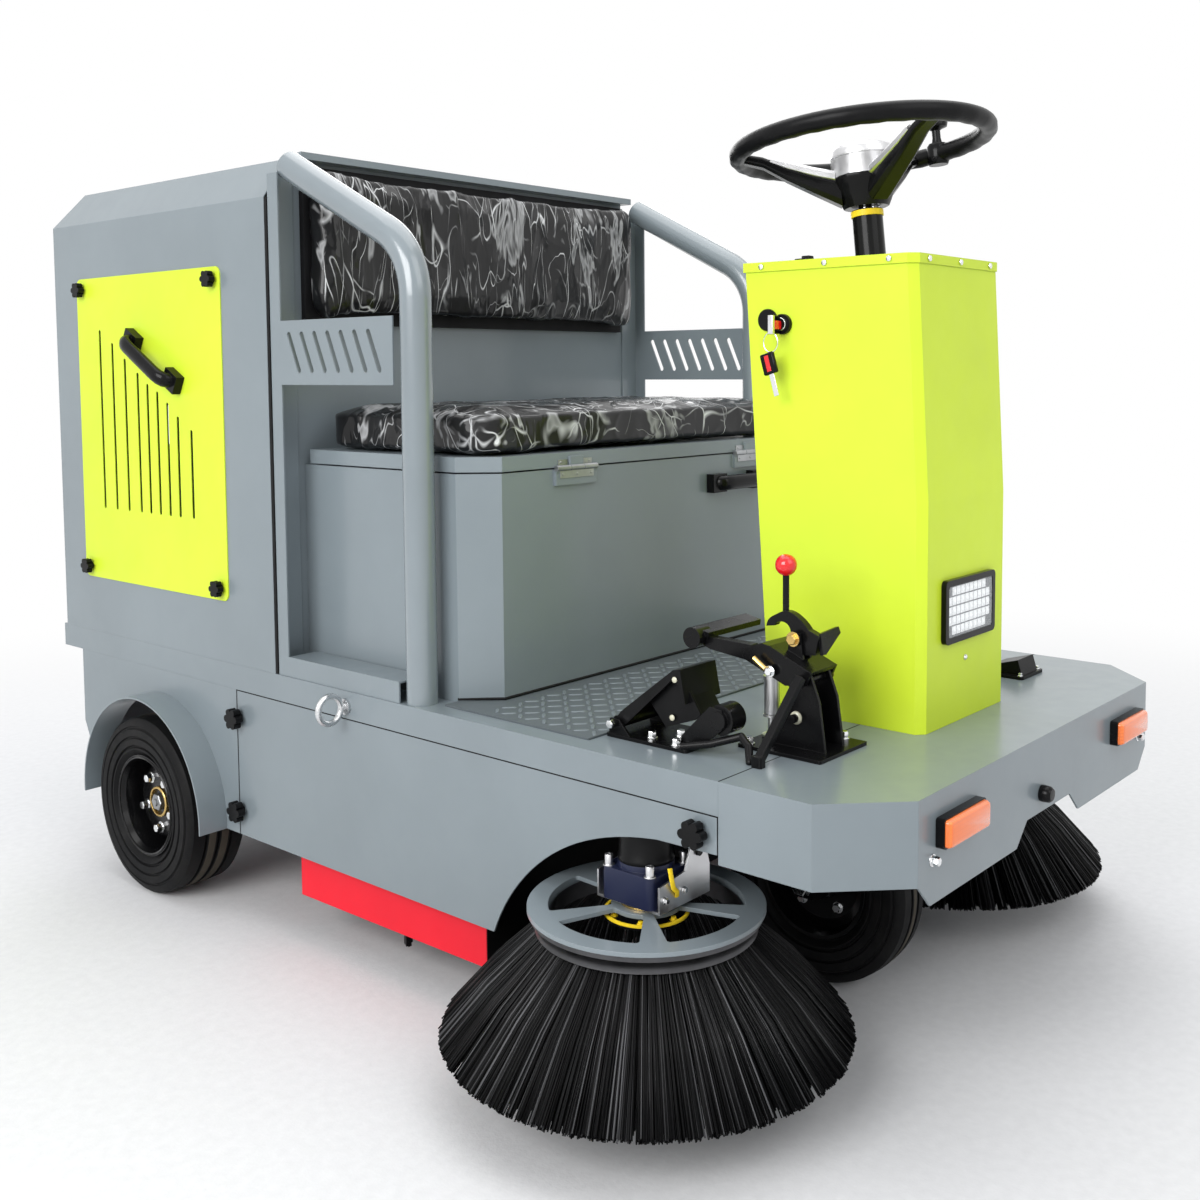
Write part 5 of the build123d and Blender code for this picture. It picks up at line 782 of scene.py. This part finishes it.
@piece("main_brush_tufts", "bristle", "main_brush", smooth=60, replaces=("main_brush",))
def main_brush(bm):
    """Core tube with helical rows of tufts, of three strands each."""
    rng = random.Random(5)
    end = MAIN_BRUSH - X * (CORE_LENGTH / 2 * MM)
    lathe(bm, end, X, [(0, 0), (0, CORE_R), (CORE_LENGTH, CORE_R), (CORE_LENGTH, 0)], 40)
    for row in range(MAIN_ROWS):
        for k in range(MAIN_TUFTS):
            x = -0.428 + 0.856 * k / (MAIN_TUFTS - 1)
            middle = MAIN_BRUSH + X * x
            angle = 2 * math.pi * row / MAIN_ROWS + x * 2.2
            for _ in range(3):
                a = angle + rng.uniform(-0.05, 0.05)
                out = Vector((0, math.cos(a), math.sin(a)))
                side = Vector((0, -math.sin(a), math.cos(a)))
                root = middle + out * 0.050
                tip = middle + X * rng.uniform(-0.005, 0.005) + out * rng.uniform(0.117, 0.1212)
                rings = []
                for end, half in ((root, 0.003), (tip, 0.0042)):
                    rings.append([bm.verts.new(on_circle(end, side, X, half, turn)) for turn in CORNERS])
                bridge(bm, rings)
                bm.faces.new(rings[-1])


# ---------------------------------------------------------------- wheels
SHOULDER = 0.0095       # from the tyre's side to the edge of its tread
# (from the tyre's side inwards, radius) from the bead over the grooved sidewall to the shoulder
SIDEWALL = (
    (0.0102, 0.0925), (0.0098, 0.0980), (0.0050, 0.1030), (0.0018, 0.1060), (0.0018, 0.1085),
    (0.0056, 0.1100), (0.0056, 0.1130), (0.0014, 0.1145), (0.0006, 0.1260), (0.0040, 0.1275),
    (0.0040, 0.1300), (0.0006, 0.1315), (0.0004, 0.1440), (0.0040, 0.1460), (0.0044, 0.1485),
    (0.0022, 0.1500), (0.0040, 0.1580), (SHOULDER, 0.1640),
)


def tyre(name, node, body, axle, x_out, x_in):
    """Tyre with rings on its sidewalls, grooves round its tread and worn ribs between them."""
    step = 1 if x_in > x_out else -1
    width = abs(x_in - x_out)
    grooves = 4 if width > 0.1 else 3
    pitch = (width - 2 * SHOULDER) / grooves
    profile = [(x_out + step * d, r) for d, r in SIDEWALL]
    for k in range(1, grooves):
        middle = SHOULDER + pitch * k
        for off, r in ((-0.0030, 0.1655), (-0.0022, 0.1600), (0.0022, 0.1600), (0.0030, 0.1655)):
            profile.append((x_out + step * (middle + off), r))
    profile += [(x_in - step * d, r) for d, r in reversed(SIDEWALL)]

    @piece(name, "tyre", body, smooth=30, replaces=(node,))
    def carcass(bm):
        bridge(bm, [[bm.verts.new(on_circle(axle + X * x, Y, Z, r, 3 * i)) for i in range(120)]
                    for x, r in profile])

    @piece(f"{name}_ribs", "worn_tread", body)
    def ribs(bm):
        for k in range(1, grooves - 1):
            low = axle + X * (x_out + step * (SHOULDER + pitch * k + 0.0050))
            wide = (pitch - 0.0100) / MM
            lathe(bm, low, X * step, [(0, 164), (0.8, 165.85), (wide - 0.8, 165.85), (wide, 164)], 120)


for sign, side in SIDES:
    wheel = f"rear_wheel_{side}"
    tyre(f"tyre_rear_{side}", f"rear_tyre_{side}", wheel, REAR_AXLE, sign * 0.525, sign * 0.403)
tyre("tyre_front", "front_tyre", "front_wheel", FRONT_AXLE, -0.038, 0.038)
for sign, side in SIDES:
    body = f"rear_wheel_{side}"
    outward = X * sign
    disc = REAR_AXLE + outward * 0.486
    # pressed face of the rim, dished out towards the nuts
    turned(f"rim_face_{side}", "rim_paint", body, REAR_AXLE + outward * 0.462, outward,
           [(2, 84), (6, 81.5), (10, 79), (18, 70), (23, 66), (24, 62), (24, 30), (24, 0)], 72, smooth=50)
    bolted(f"wheel_nuts_{side}", "chrome", body,
           [(on_circle(disc, Y, Z, 0.050, 126 + 72 * k), outward, 10.5, 11.0) for k in range(5)])
    turned(f"hub_ring_{side}", "brass", body, disc, outward,
           [(0, 29), (5, 29), (6.2, 27.5), (6.2, 25), (4, 24), (0, 24)], 48)
    turned(f"axle_nut_{side}", "dull_zinc", body, disc, outward,
           [(0, 16.5), (8.5, 16.5), (10, 15), (10, 7.5), (13, 7), (13, 0)], 6)
    # rolled edge of the rim, inside the tyre's bead
    turned(f"rim_edge_{side}", "rim_paint", body, REAR_AXLE + outward * 0.519, outward,
           [(-4, 92.5), (0.5, 93.5), (2.2, 91.5), (1, 89), (-10, 87.2)], 96)
bolted("front_wheel_nuts", "chrome", "front_wheel",
       [(on_circle(FRONT_AXLE + X * face, Y, Z, 0.056, 18 + 72 * k), X * sign, 9.0, 7.0)
        for sign, face in ((-1, -0.0072), (1, -0.0008)) for k in range(5)])


@piece("fork_axle_nuts", "zinc", "fork")
def fork_nuts(bm):
    for sign, _ in SIDES:
        lathe(bm, FRONT_AXLE + X * sign * 0.0552, X * sign,
              [(0, 19), (2.5, 19), (2.5, 16), (15.5, 16), (17, 14), (17, 0)], 6)


# ---------------------------------------------------------------- steering wheel
SPOKES = (4.0, 124.0, 244.0)
RIM_R = 0.187


def wheel_point(degrees, radius, height):
    """Point at an angle from +X towards the rear, a radius and a height above the rim's plane."""
    return on_circle(HUB + HUB_AXIS * height, X, HUB_REAR, radius, degrees)


@piece("wheel_rim", "black_plastic", "steering_wheel", smooth=60, replaces=("steering_wheel",))
def wheel_rim(bm):
    """Soft rim with shallow finger grips underneath."""
    count = 96
    rings = []
    for i in range(count):
        p = wheel_point(360 * i / count, RIM_R, 0)
        out = (p - HUB).normalized()
        grip = 0.0138 + 0.0006 * math.cos(2 * math.pi * i / count * 30)
        rings.append([bm.verts.new(on_circle(p, out, HUB_AXIS, 0.0142 if 0 < k < 10 else grip, 18 * k))
                      for k in range(20)])
    bridge(bm, rings + rings[:1])


def spokes(bm, stations):
    """Bars with chamfered corners through stations: (radius, height, half width, half thickness)."""
    section = ((-1, -0.5), (-0.7, -1), (0.7, -1), (1, -0.5), (1, 0.5), (0.75, 1), (-0.75, 1), (-1, 0.5))
    for angle in SPOKES:
        a = math.radians(angle)
        side = HUB_REAR * math.cos(a) - X * math.sin(a)
        rings = []
        for radius, height, half, depth in stations:
            middle = wheel_point(angle, radius, height)
            rings.append([bm.verts.new(middle + side * (half * across) + HUB_AXIS * (depth * up))
                          for across, up in section])
        loft(bm, rings)


@piece("wheel_spokes", "gloss_black", "steering_wheel", smooth=30, bevel=0.0012)
def black_spokes(bm):
    spokes(bm, ((0.036, -0.072, 0.020, 0.020), (0.070, -0.056, 0.019, 0.016), (0.115, -0.034, 0.017, 0.011),
                (0.150, -0.013, 0.015, 0.008), (0.182, -0.003, 0.0145, 0.007)))


@piece("wheel_spoke_faces", "satin", "steering_wheel", smooth=30, bevel=0.0008)
def silver_faces(bm):
    spokes(bm, ((0.044, -0.0475, 0.0214, 0.0090), (0.075, -0.0378, 0.0202, 0.0086),
                (0.115, -0.0225, 0.0184, 0.0074), (0.140, -0.0115, 0.0168, 0.0052)))


@piece("wheel_cup", "gloss_black", "steering_wheel", smooth=25)
def hub_cup(bm):
    """Cup under the hub, slightly waisted between the spokes."""
    profile = ((-0.0965, 0.034), (-0.088, 0.038), (-0.056, 0.0510), (-0.050, 0.0510), (-0.048, 0.047))
    waist = [1 - 0.045 * abs(math.sin(math.radians(45 * k))) for k in range(24)]
    loft(bm, [[bm.verts.new(wheel_point(15 * k, radius * share, height)) for k, share in enumerate(waist)]
              for height, radius in profile])


turned("wheel_drum", "satin", "steering_wheel", HUB, HUB_AXIS,
       [(-50, 48), (-22.5, 48.5), (-22.5, 46.5), (-19.5, 46.5), (-19.5, 48.5), (-10, 48), (-7, 46),
        (-5.5, 41), (-5.5, 39)], 64)
turned("wheel_cap", "satin", "steering_wheel", HUB, HUB_AXIS,
       [(-6, 39.2), (-3.5, 38.5), (-1.5, 34), (-0.8, 20), (-0.6, 0)], 48, slot="black_plastic")
turned("wheel_spinner", "gloss_black", "steering_wheel", wheel_point(350, RIM_R, 0), HUB_AXIS,
       [(-17, 0), (-17, 15), (-12, 17.2), (12, 17.2), (17, 14), (17.5, 8.5), (26, 6.8), (38, 6.8),
        (40.5, 10.5), (43, 18), (49, 19.6), (53.5, 16.5), (55.5, 9), (55.8, 0)], smooth=50)
turned("column_band", "yellow", "chassis", HUB, HUB_AXIS,
       [(-110.5, 23.2), (-110.5, 24.6), (-101.5, 24.6), (-101.5, 20)], 40)


@piece("column_pins", "chrome", "chassis")
def column_pins(bm):
    for degrees in (200, 240, 280):
        lathe(bm, wheel_point(degrees, 0.0185, -0.1012), HUB_AXIS,
              [(0, 0), (0, 2.2), (4.2, 2.2), (4.6, 1.6), (4.6, 0)], 12)


# ---------------------------------------------------------------- headlight and marker lamps
LAMP = Vector((0, -0.826, 0.628))
MARKER = Vector((0.285, -0.956, 0.411))
MARKER_DEPTH = 0.012


@piece("lamp_cells", "lamp_white", "chassis", smooth=25)
def led_cells(bm):
    for row in range(5):
        for col in range(10):
            if row in (0, 4) and col in (0, 9):
                continue
            at = LAMP + Vector((-0.0605 + 0.1210 * col / 9, -0.0042, -0.0285 + 0.0570 * row / 4))
            slab(bm, at, (0.0057, 0.0002, 0.0060))
            lathe(bm, at - Y * 0.0001, -Y, [(0, 4.8), (1.6, 3), (2, 0)], 10)


@piece("lamp_glass", "lamp_glass", "chassis")
def lamp_glass(bm):
    outline = [(-0.069, -0.034), (-0.066, -0.037), (0.066, -0.037), (0.069, -0.034), (0.069, 0.034),
               (0.066, 0.037), (-0.066, 0.037), (-0.069, 0.034)]
    prism(bm, outline, LAMP - Y * 0.0066, X, Z, -Y, 0.0006)


@piece("marker_housings", "gloss_black", "chassis", replaces=("marker_lamps",))
def marker_housings(bm):
    for sign, _ in SIDES:
        outline = rounded_corners(0.0525, 0.0148, 0.0042)
        prism(bm, outline, (sign * MARKER.x, MARKER.y, MARKER.z), X, Z, -Y, MARKER_DEPTH)


@piece("marker_lenses", "amber_lens", "chassis", smooth=30)
def marker_lenses(bm):
    for sign, _ in SIDES:
        rings = []
        for rise, shrink in ((0, 0.0016), (0.004, 0.0018), (0.0076, 0.0036), (0.0088, 0.0062)):
            y = MARKER.y - MARKER_DEPTH - rise
            rings.append([bm.verts.new((sign * MARKER.x + a, y, MARKER.z + b))
                          for a, b in rounded_corners(0.0525 - shrink, 0.0148 - shrink, 0.0040)])
        bridge(bm, rings)
        bm.faces.new(rings[-1])


# ---------------------------------------------------------------- key switch, keys and switch on the console
KEY = Vector((-0.132, -0.593, 1.042))           # middle of the key switch on the console's side
UPRIGHT = (X, Y, Z)
HANGING = (X, Vector((0, 0.96, -0.28)), Vector((0, 0.28, 0.96)))


@piece("key_bezel", "gloss_black", "chassis", smooth=40)
def key_bezel(bm):
    lathe(bm, KEY, -X, [(0, 0), (0, 15), (4, 15), (6, 13.8), (6.5, 10.5), (6, 0)], 40)
    # round guard plate beside the switch
    beside = KEY + Vector((0, 0.027, 0.007))
    lathe(bm, beside, -X, [(0, 0), (0, 16.5), (4, 16.5), (6, 14.8), (6.5, 0)])


turned("key_barrel", "chrome", "chassis", KEY - X * 0.0065, -X,
       [(0, 9.8), (3.5, 9.8), (4.2, 9), (4.2, 0)])


@piece("key_head", "gloss_black", "chassis", bevel=0.0015)
def key_head(bm):
    # key turned level in the switch
    outline = [(-0.013, -0.0125), (0.010, -0.0145), (0.0145, -0.010), (0.0145, 0.010), (0.010, 0.0145),
               (-0.013, 0.0125)]
    prism(bm, outline, (-0.152, -0.593, 1.0405), Z, -X, Y, 0.0065)


def block(name, look, middle, half, axes=UPRIGHT, bevel=0.0):
    """One small box on the chassis as an object of its own."""
    piece(name, look, "chassis", bevel=bevel)(lambda bm: slab(bm, middle, half, axes))


block("key_insert", "red_plastic", (-0.1535, -0.5938, 1.0405), (0.0085, 0.0045, 0.0062), bevel=0.0010)
block("key_cover", "satin", (-0.1645, -0.5930, 1.0405), (0.0032, 0.0046, 0.0140), bevel=0.0012)
# spare key, which hangs aslant on the ring
block("spare_key_stripe", "red_plastic", (-0.1637, -0.5865, 0.9840), (0.0006, 0.0036, 0.0120), HANGING)


@piece("key_ring", "chrome", "chassis")
def key_ring(bm):
    turns = [2 * math.pi * i / 28 for i in range(28)]
    path = [(-0.1605, -0.5895 + 0.0125 * math.sin(a), 1.0150 + 0.0145 * math.cos(a)) for a in turns]
    sweep(bm, path, 0.0009, 8, closed=True)


block("spare_key_head", "gloss_black", (-0.160, -0.5865, 0.9840), (0.0035, 0.0118, 0.0160), HANGING, 0.0022)
block("spare_key_blade", "chrome", (-0.160, -0.5955, 0.9535), (0.0011, 0.0042, 0.0175), HANGING, 0.0003)


@piece("top_switch", "gloss_black", "chassis", bevel=0.0015)
def top_switch(bm):
    slab(bm, (-0.062, -0.587, 1.1385), (0.016, 0.011, 0.0040))
    slab(bm, (-0.058, -0.587, 1.1440), (0.007, 0.007, 0.0035))


# ---------------------------------------------------------------- screws, bolts, handles, hinges and seams
CAP_Z = 1.1282          # height of the console's screws
DECK = 0.4672           # top of the deck, with a hair of room
CASE_SCREW = (4.8, 2.6, "dome")

bolted("case_screws", "chrome", "chassis",
       [((sign * 0.1358, y, CAP_Z), X * sign, *CASE_SCREW)
        for sign, _ in SIDES for y in (-0.770, -0.665, -0.555)]
       + [((x, -0.8118, CAP_Z), -Y, *CASE_SCREW) for x in (-0.095, 0.0, 0.095)]
       + [((-0.004, -0.8262, 0.553), -Y, 4.2, 2.6, "washer dome")])
# nose plate, brake tower's foot, accelerator's foot, one on each pedal, foot switch
bolted("plate_bolts", "chrome", "chassis",
       [((sign * 0.350, -0.9562, 0.380), -Y, 7.5, 9.0) for sign, _ in SIDES]
       + [((x, y, DECK), Z, 8.0, 8.5)
          for x, y in ((-0.289, -0.749), (-0.222, -0.754), (-0.240, -0.670), (-0.3265, -0.668))]
       + [((x, y, DECK), Z, 7.5, 8.0) for x, y in ((-0.357, -0.574), (-0.395, -0.596), (-0.386, -0.546))]
       + [((-0.4092, -0.492, 0.482), -X, 8.0, 6.5, "hex"), ((-0.3168, -0.696, 0.569), -X, 7.5, 5.0)]
       + [((0.312 + dx, -0.757 + dy, DECK), Z, 4.5, 4.0) for dx in (0.034, -0.034) for dy in (0.030, -0.030)])
bolted("pale_screws", "pale_screw", "chassis",
       [((-0.3982, -0.596, 0.5575), -X, 4.6, 2.4, "dome"), ((-0.3872, -0.583, 0.501), -X, 4.6, 2.4, "dome"),
        ((-0.3030, -0.729, 0.508), -X, 10.0, 5.0, "dome")])


@piece("pivot_bolts", "brass", "chassis")
def pivot_bolts(bm):
    # pivots of the brake tower, and the brass end of the pull rod
    bolt(bm, (-0.3165, -0.740, 0.559), -X, 7.5, 4.0)
    bolt(bm, (-0.2945, -0.718, 0.612), -X, 10.0, 5.5)
    bolt(bm, (-0.2385, -0.740, 0.559), X, 7.5, 4.0)
    sweep(bm, [(-0.3210, -0.672, 0.5850), (-0.3200, -0.690, 0.5725)], 0.0040, 10)


@piece("cylinder_rings", "satin", "chassis")
def cylinder_rings(bm):
    # rings and gland of the small brake cylinder
    for low, high, radius in ((467.2, 471.0, 13.5), (496.0, 499.0, 12.2), (548.0, 553.0, 12.2)):
        lathe(bm, (-0.2775, -0.672, 0), Z, [(low, 0), (low, radius), (high, radius), (high, 0)])


@piece("handles", "gloss_black", "chassis", smooth=50, bevel=0.0018, replaces=("grab_handles",))
def grab_handles(bm):
    """Bridge handles of the louvre panels and the seat box: a thick bar on two bolted feet."""
    bars = [((sign * 0.477, 0.630, 1.036), (sign * 0.477, 0.494, 0.962), X * sign, 0.031)
            for sign, _ in SIDES]
    bars.append(((0.178, -0.2305, 0.767), (0.302, -0.2305, 0.767), -Y, 0.023))
    for start, end, out, rise in bars:
        start, end = Vector(start), Vector(end)
        along = (end - start).normalized()
        shape = ((0.05, 0.0), (0.58, 0.001), (0.82, 0.005), (0.95, 0.014), (1.0, 0.027))
        bend = [(rise * a, b) for a, b in shape]
        path = [start + out * a + along * b for a, b in bend]
        path += [end + out * a - along * b for a, b in reversed(bend)]
        sweep(bm, path, 0.0138, 16, flat=0.80, hint=along)
        for foot in (start, end):
            slab(bm, foot + out * 0.0085, (0.0170, 0.0205, 0.0082), (along.cross(out), along, out))


@piece("flap_and_painted_shade", "rubber", "chassis")
def flap_and_painted_shade(bm):
    """Black rubber sheet over the front of the brush housing, upright and then along its slope; its black
    also stands in as painted shade for the dark inside of the arch.
    """
    slab(bm, (0, -0.2770, 0.2055), (0.4515, 0.0005, 0.1245))
    low, high = Vector((0, -0.2760, 0.3310)), Vector((0, -0.1880, 0.4070))
    along = (high - low).normalized()
    out = X.cross(along)
    slab(bm, (low + high) / 2 + out * 0.0009, (0.4515, (high - low).length / 2, 0.0005), (X, along, out))


@piece("tread_bars", "bar_paint", "chassis", smooth=30)
def tread_bars(bm):
    """Short raised bars of the deck mat, turned one way and the other."""
    pitch = 0.0245
    outline = [(-0.0118, 0), (-0.0080, -0.0032), (0.0080, -0.0032), (0.0118, 0), (0.0080, 0.0032),
               (-0.0080, 0.0032)]
    for i in range(-17, 18):
        for j in range(10):
            x, y = i * pitch, -0.4655 + j * pitch
            if abs(x) > 0.424 or y > -0.262:
                continue
            turn = math.radians(45 if (i + j) % 2 else -45)
            u = Vector((math.cos(turn), math.sin(turn), 0))
            v = Vector((-math.sin(turn), math.cos(turn), 0))
            rings = []
            for z, long, wide in ((0.4650, 1, 1), (0.4663, 0.86, 0.62)):
                middle = Vector((x, y, z))
                rings.append([bm.verts.new(middle + u * (a * long) + v * (b * wide)) for a, b in outline])
            loft(bm, rings)


turned("front_plug", "gloss_black", "chassis", (-0.028, -0.956, 0.382), -Y,
       [(0, 0), (0, 11.5), (4, 12), (13, 11.2), (16.5, 8.5), (17, 0)], 24, smooth=45)

HINGES = (-0.200, 0.286)
KNUCKLE_R = 4.8         # in mm, as are the lengths of the knuckles


def knuckle(bm, x, length):
    """Round piece of a hinge, from x along its pin."""
    lathe(bm, (x, LID_PIN.y, LID_PIN.z), X, [(0, 0), (0, KNUCKLE_R), (length, KNUCKLE_R), (length, 0)], 20)


def leaf(bm, x, y, low, high):
    """Flat leaf of a hinge, between two heights from its pin."""
    prism(bm, [(-0.040, low), (0.040, low), (0.040, high), (-0.040, high)], (x, y, 0.8192), X, Z, -Y, 0.0012)


@piece("hinge_fixed", "dull_zinc", "chassis")
def fixed_leaves(bm):
    for x in HINGES:
        leaf(bm, x, -0.2361, -0.0165, -0.004)
        for shift in (-0.0325, 0.0325):
            knuckle(bm, x + shift - 0.0157, 31.4)
        for dx in (-0.034, 0, 0.034):
            bolt(bm, (x + dx, -0.2374, 0.8090), -Y, 2.6, 1.2, "dome")


@piece("hinge_moving", "dull_zinc", "seat_lid")
def moving_leaves(bm):
    for x in HINGES:
        knuckle(bm, x - 0.0152, 30.4)
        leaf(bm, x, -0.2317, 0.0040, 0.0135)
        for dx in (-0.034, 0.034):
            bolt(bm, (x + dx, -0.2330, 0.8285), -Y, 2.6, 1.2, "dome")


@piece("dark_seams", "rubber", "chassis")
def dark_seams(bm):
    """Black rubber seals, the gaps round the doors and the foot line of the seat box."""
    for sign, _ in SIDES:
        slab(bm, (sign * 0.4722, 0.2105, 0.8655), (0.0022, 0.0032, 0.4020))
        slab(bm, (sign * 0.4735, 0.3335, 0.2865), (0.0012, 0.0014, 0.1305))
        slab(bm, (sign * 0.4735, -0.1960, 0.4160), (0.0012, 0.5280, 0.0010))
        slab(bm, (sign * 0.4735, -0.7250, 0.4135), (0.0012, 0.0010, 0.0465))
    slab(bm, (0, -0.7260, 0.4613), (0.4745, 0.0009, 0.0009))
    foot = ((-0.4115, -0.176), (-0.3632, -0.2308), (0.3632, -0.2308), (0.4115, -0.176))
    sweep(bm, [(x, y, DECK) for x, y in foot], 0.0022, 8)


# ---------------------------------------------------------------- floor, light, camera
def floor_look():
    """Pale matt floor that runs out into the white background away from the machine."""
    n = Nodes(bpy.data.materials.new("floor"))
    base = n.ramp(n.noise(60, 6), [(0.3, (0.66, 0.66, 0.665)), (0.7, (0.70, 0.70, 0.705))])
    n.surface(Base_Color=base, Roughness=0.8, Normal=n.bump(n.noise(180, 4), 0.3, 0.001))
    reach = n.vector("LENGTH", n.add("ShaderNodeTexCoord").outputs["Object"])
    far = n.add("ShaderNodeMapRange", interpolation_type="SMOOTHSTEP",
                **{"Value": reach, "From Min": 1.3, "From Max": 3.4})
    path = n.add("ShaderNodeLightPath")
    seen = n.math("MAXIMUM", path.outputs["Is Camera Ray"], path.outputs["Is Glossy Ray"])
    white = n.add("ShaderNodeEmission", Color=FULL, Strength=1.0)
    blend = n.add("ShaderNodeMixShader", Fac=n.math("MULTIPLY", seen, far.outputs["Result"]))
    n.feed(blend.inputs[1], n.bsdf.outputs[0])
    n.feed(blend.inputs[2], white.outputs[0])
    n.feed(n.tree.nodes["Material Output"].inputs["Surface"], blend.outputs[0])
    return n.owner


def stage():
    bm = bmesh.new()
    slab(bm, (0, 0, -0.012), (9.0, 9.0, 0.010))
    mesh = bpy.data.meshes.new("floor")
    bm.to_mesh(mesh)
    bm.free()
    mesh.materials.append(floor_look())
    floor = bpy.data.objects.new("floor", mesh)
    bpy.context.scene.collection.objects.link(floor)
    floor.location.z = 0.002


def light_world():
    """Soft light, dimmer from below and from the front; the camera and reflections see plain white."""
    n = Nodes(bpy.data.worlds.new("world"))
    bpy.context.scene.world = n.owner
    split = n.add("ShaderNodeSeparateXYZ", Vector=n.add("ShaderNodeTexCoord").outputs["Generated"])
    height = n.math("ADD", n.math("MULTIPLY", split.outputs["Z"], 0.5), 0.5)
    sky = n.ramp(height, [(0.42, (0.42, 0.42, 0.43)), (0.62, (0.92, 0.94, 0.97))])
    front = n.add("ShaderNodeMapRange", **{"Value": split.outputs["Y"], "From Min": -0.9, "From Max": 0.1,
                                           "To Min": 0.85, "To Max": 1.0})
    dimmed = n.add("ShaderNodeVectorMath", operation="SCALE", Vector=sky, Scale=front.outputs["Result"])
    soft = n.tree.nodes["Background"]
    n.feed(soft.inputs["Color"], dimmed.outputs["Vector"])
    soft.inputs["Strength"].default_value = 0.75
    white = n.add("ShaderNodeBackground", Color=FULL, Strength=1.0)
    path = n.add("ShaderNodeLightPath")
    seen = n.math("MAXIMUM", path.outputs["Is Camera Ray"], path.outputs["Is Transmission Ray"])
    blend = n.add("ShaderNodeMixShader", Fac=n.math("MAXIMUM", seen, path.outputs["Is Glossy Ray"]))
    n.feed(blend.inputs[1], soft.outputs[0])
    n.feed(blend.inputs[2], white.outputs[0])
    n.feed(n.tree.nodes["World Output"].inputs["Surface"], blend.outputs[0])


def area(name, at, aim, size, power):
    light = bpy.data.lights.new(name, "AREA")
    light.shape = "RECTANGLE"
    light.size, light.size_y = size
    light.energy = power
    obj = bpy.data.objects.new(name, light)
    bpy.context.scene.collection.objects.link(obj)
    obj.location = at
    obj.rotation_euler = (Vector(aim) - Vector(at)).to_track_quat("-Z", "Y").to_euler()


stage()
light_world()
area("key", (-0.6, -3.9, 3.4), (0, 0, 0.7), (3.0, 3.0), 50)
area("side", (-4.3, -0.6, 2.6), (0, 0.1, 0.6), (3.0, 2.4), 165)
area("top", (0.4, 0.2, 4.2), (0, 0, 0.5), (4.0, 4.0), 80)
area("back", (3.0, 3.2, 2.8), (0, 0, 0.7), (3.0, 2.5), 60)

PHOTO = 1200                                    # width and height of the photo in pixels
FOCAL, PPX, PPY = 1320.34, 635.63, 464.23       # focal length and principal point in pixels
YAW, PITCH, ROLL = 0.8686, -0.0710, -0.0064
EYE = Vector((-1.7747, -1.6941, 0.9754))
SENSOR = 36.0
camera = bpy.data.objects.new("camera", bpy.data.cameras.new("camera"))
bpy.context.scene.collection.objects.link(camera)
camera.data.sensor_width = SENSOR
camera.data.lens = FOCAL / PHOTO * SENSOR
camera.data.shift_x = (PHOTO / 2 - PPX) / PHOTO
camera.data.shift_y = (PPY - PHOTO / 2) / PHOTO
forward = Vector((math.sin(YAW) * math.cos(PITCH), math.cos(YAW) * math.cos(PITCH), math.sin(PITCH)))
level = Vector((math.cos(YAW), -math.sin(YAW), 0))
upward = level.cross(forward)
right = level * math.cos(ROLL) + upward * math.sin(ROLL)
up = upward * math.cos(ROLL) - level * math.sin(ROLL)
camera.matrix_world = Matrix([(right[k], up[k], -forward[k], EYE[k]) for k in range(3)] + [(0, 0, 0, 1)])
camera.data.clip_start, camera.data.clip_end = 0.05, 60
bpy.context.scene.camera = camera
bpy.context.scene.view_settings.view_transform = "Standard"
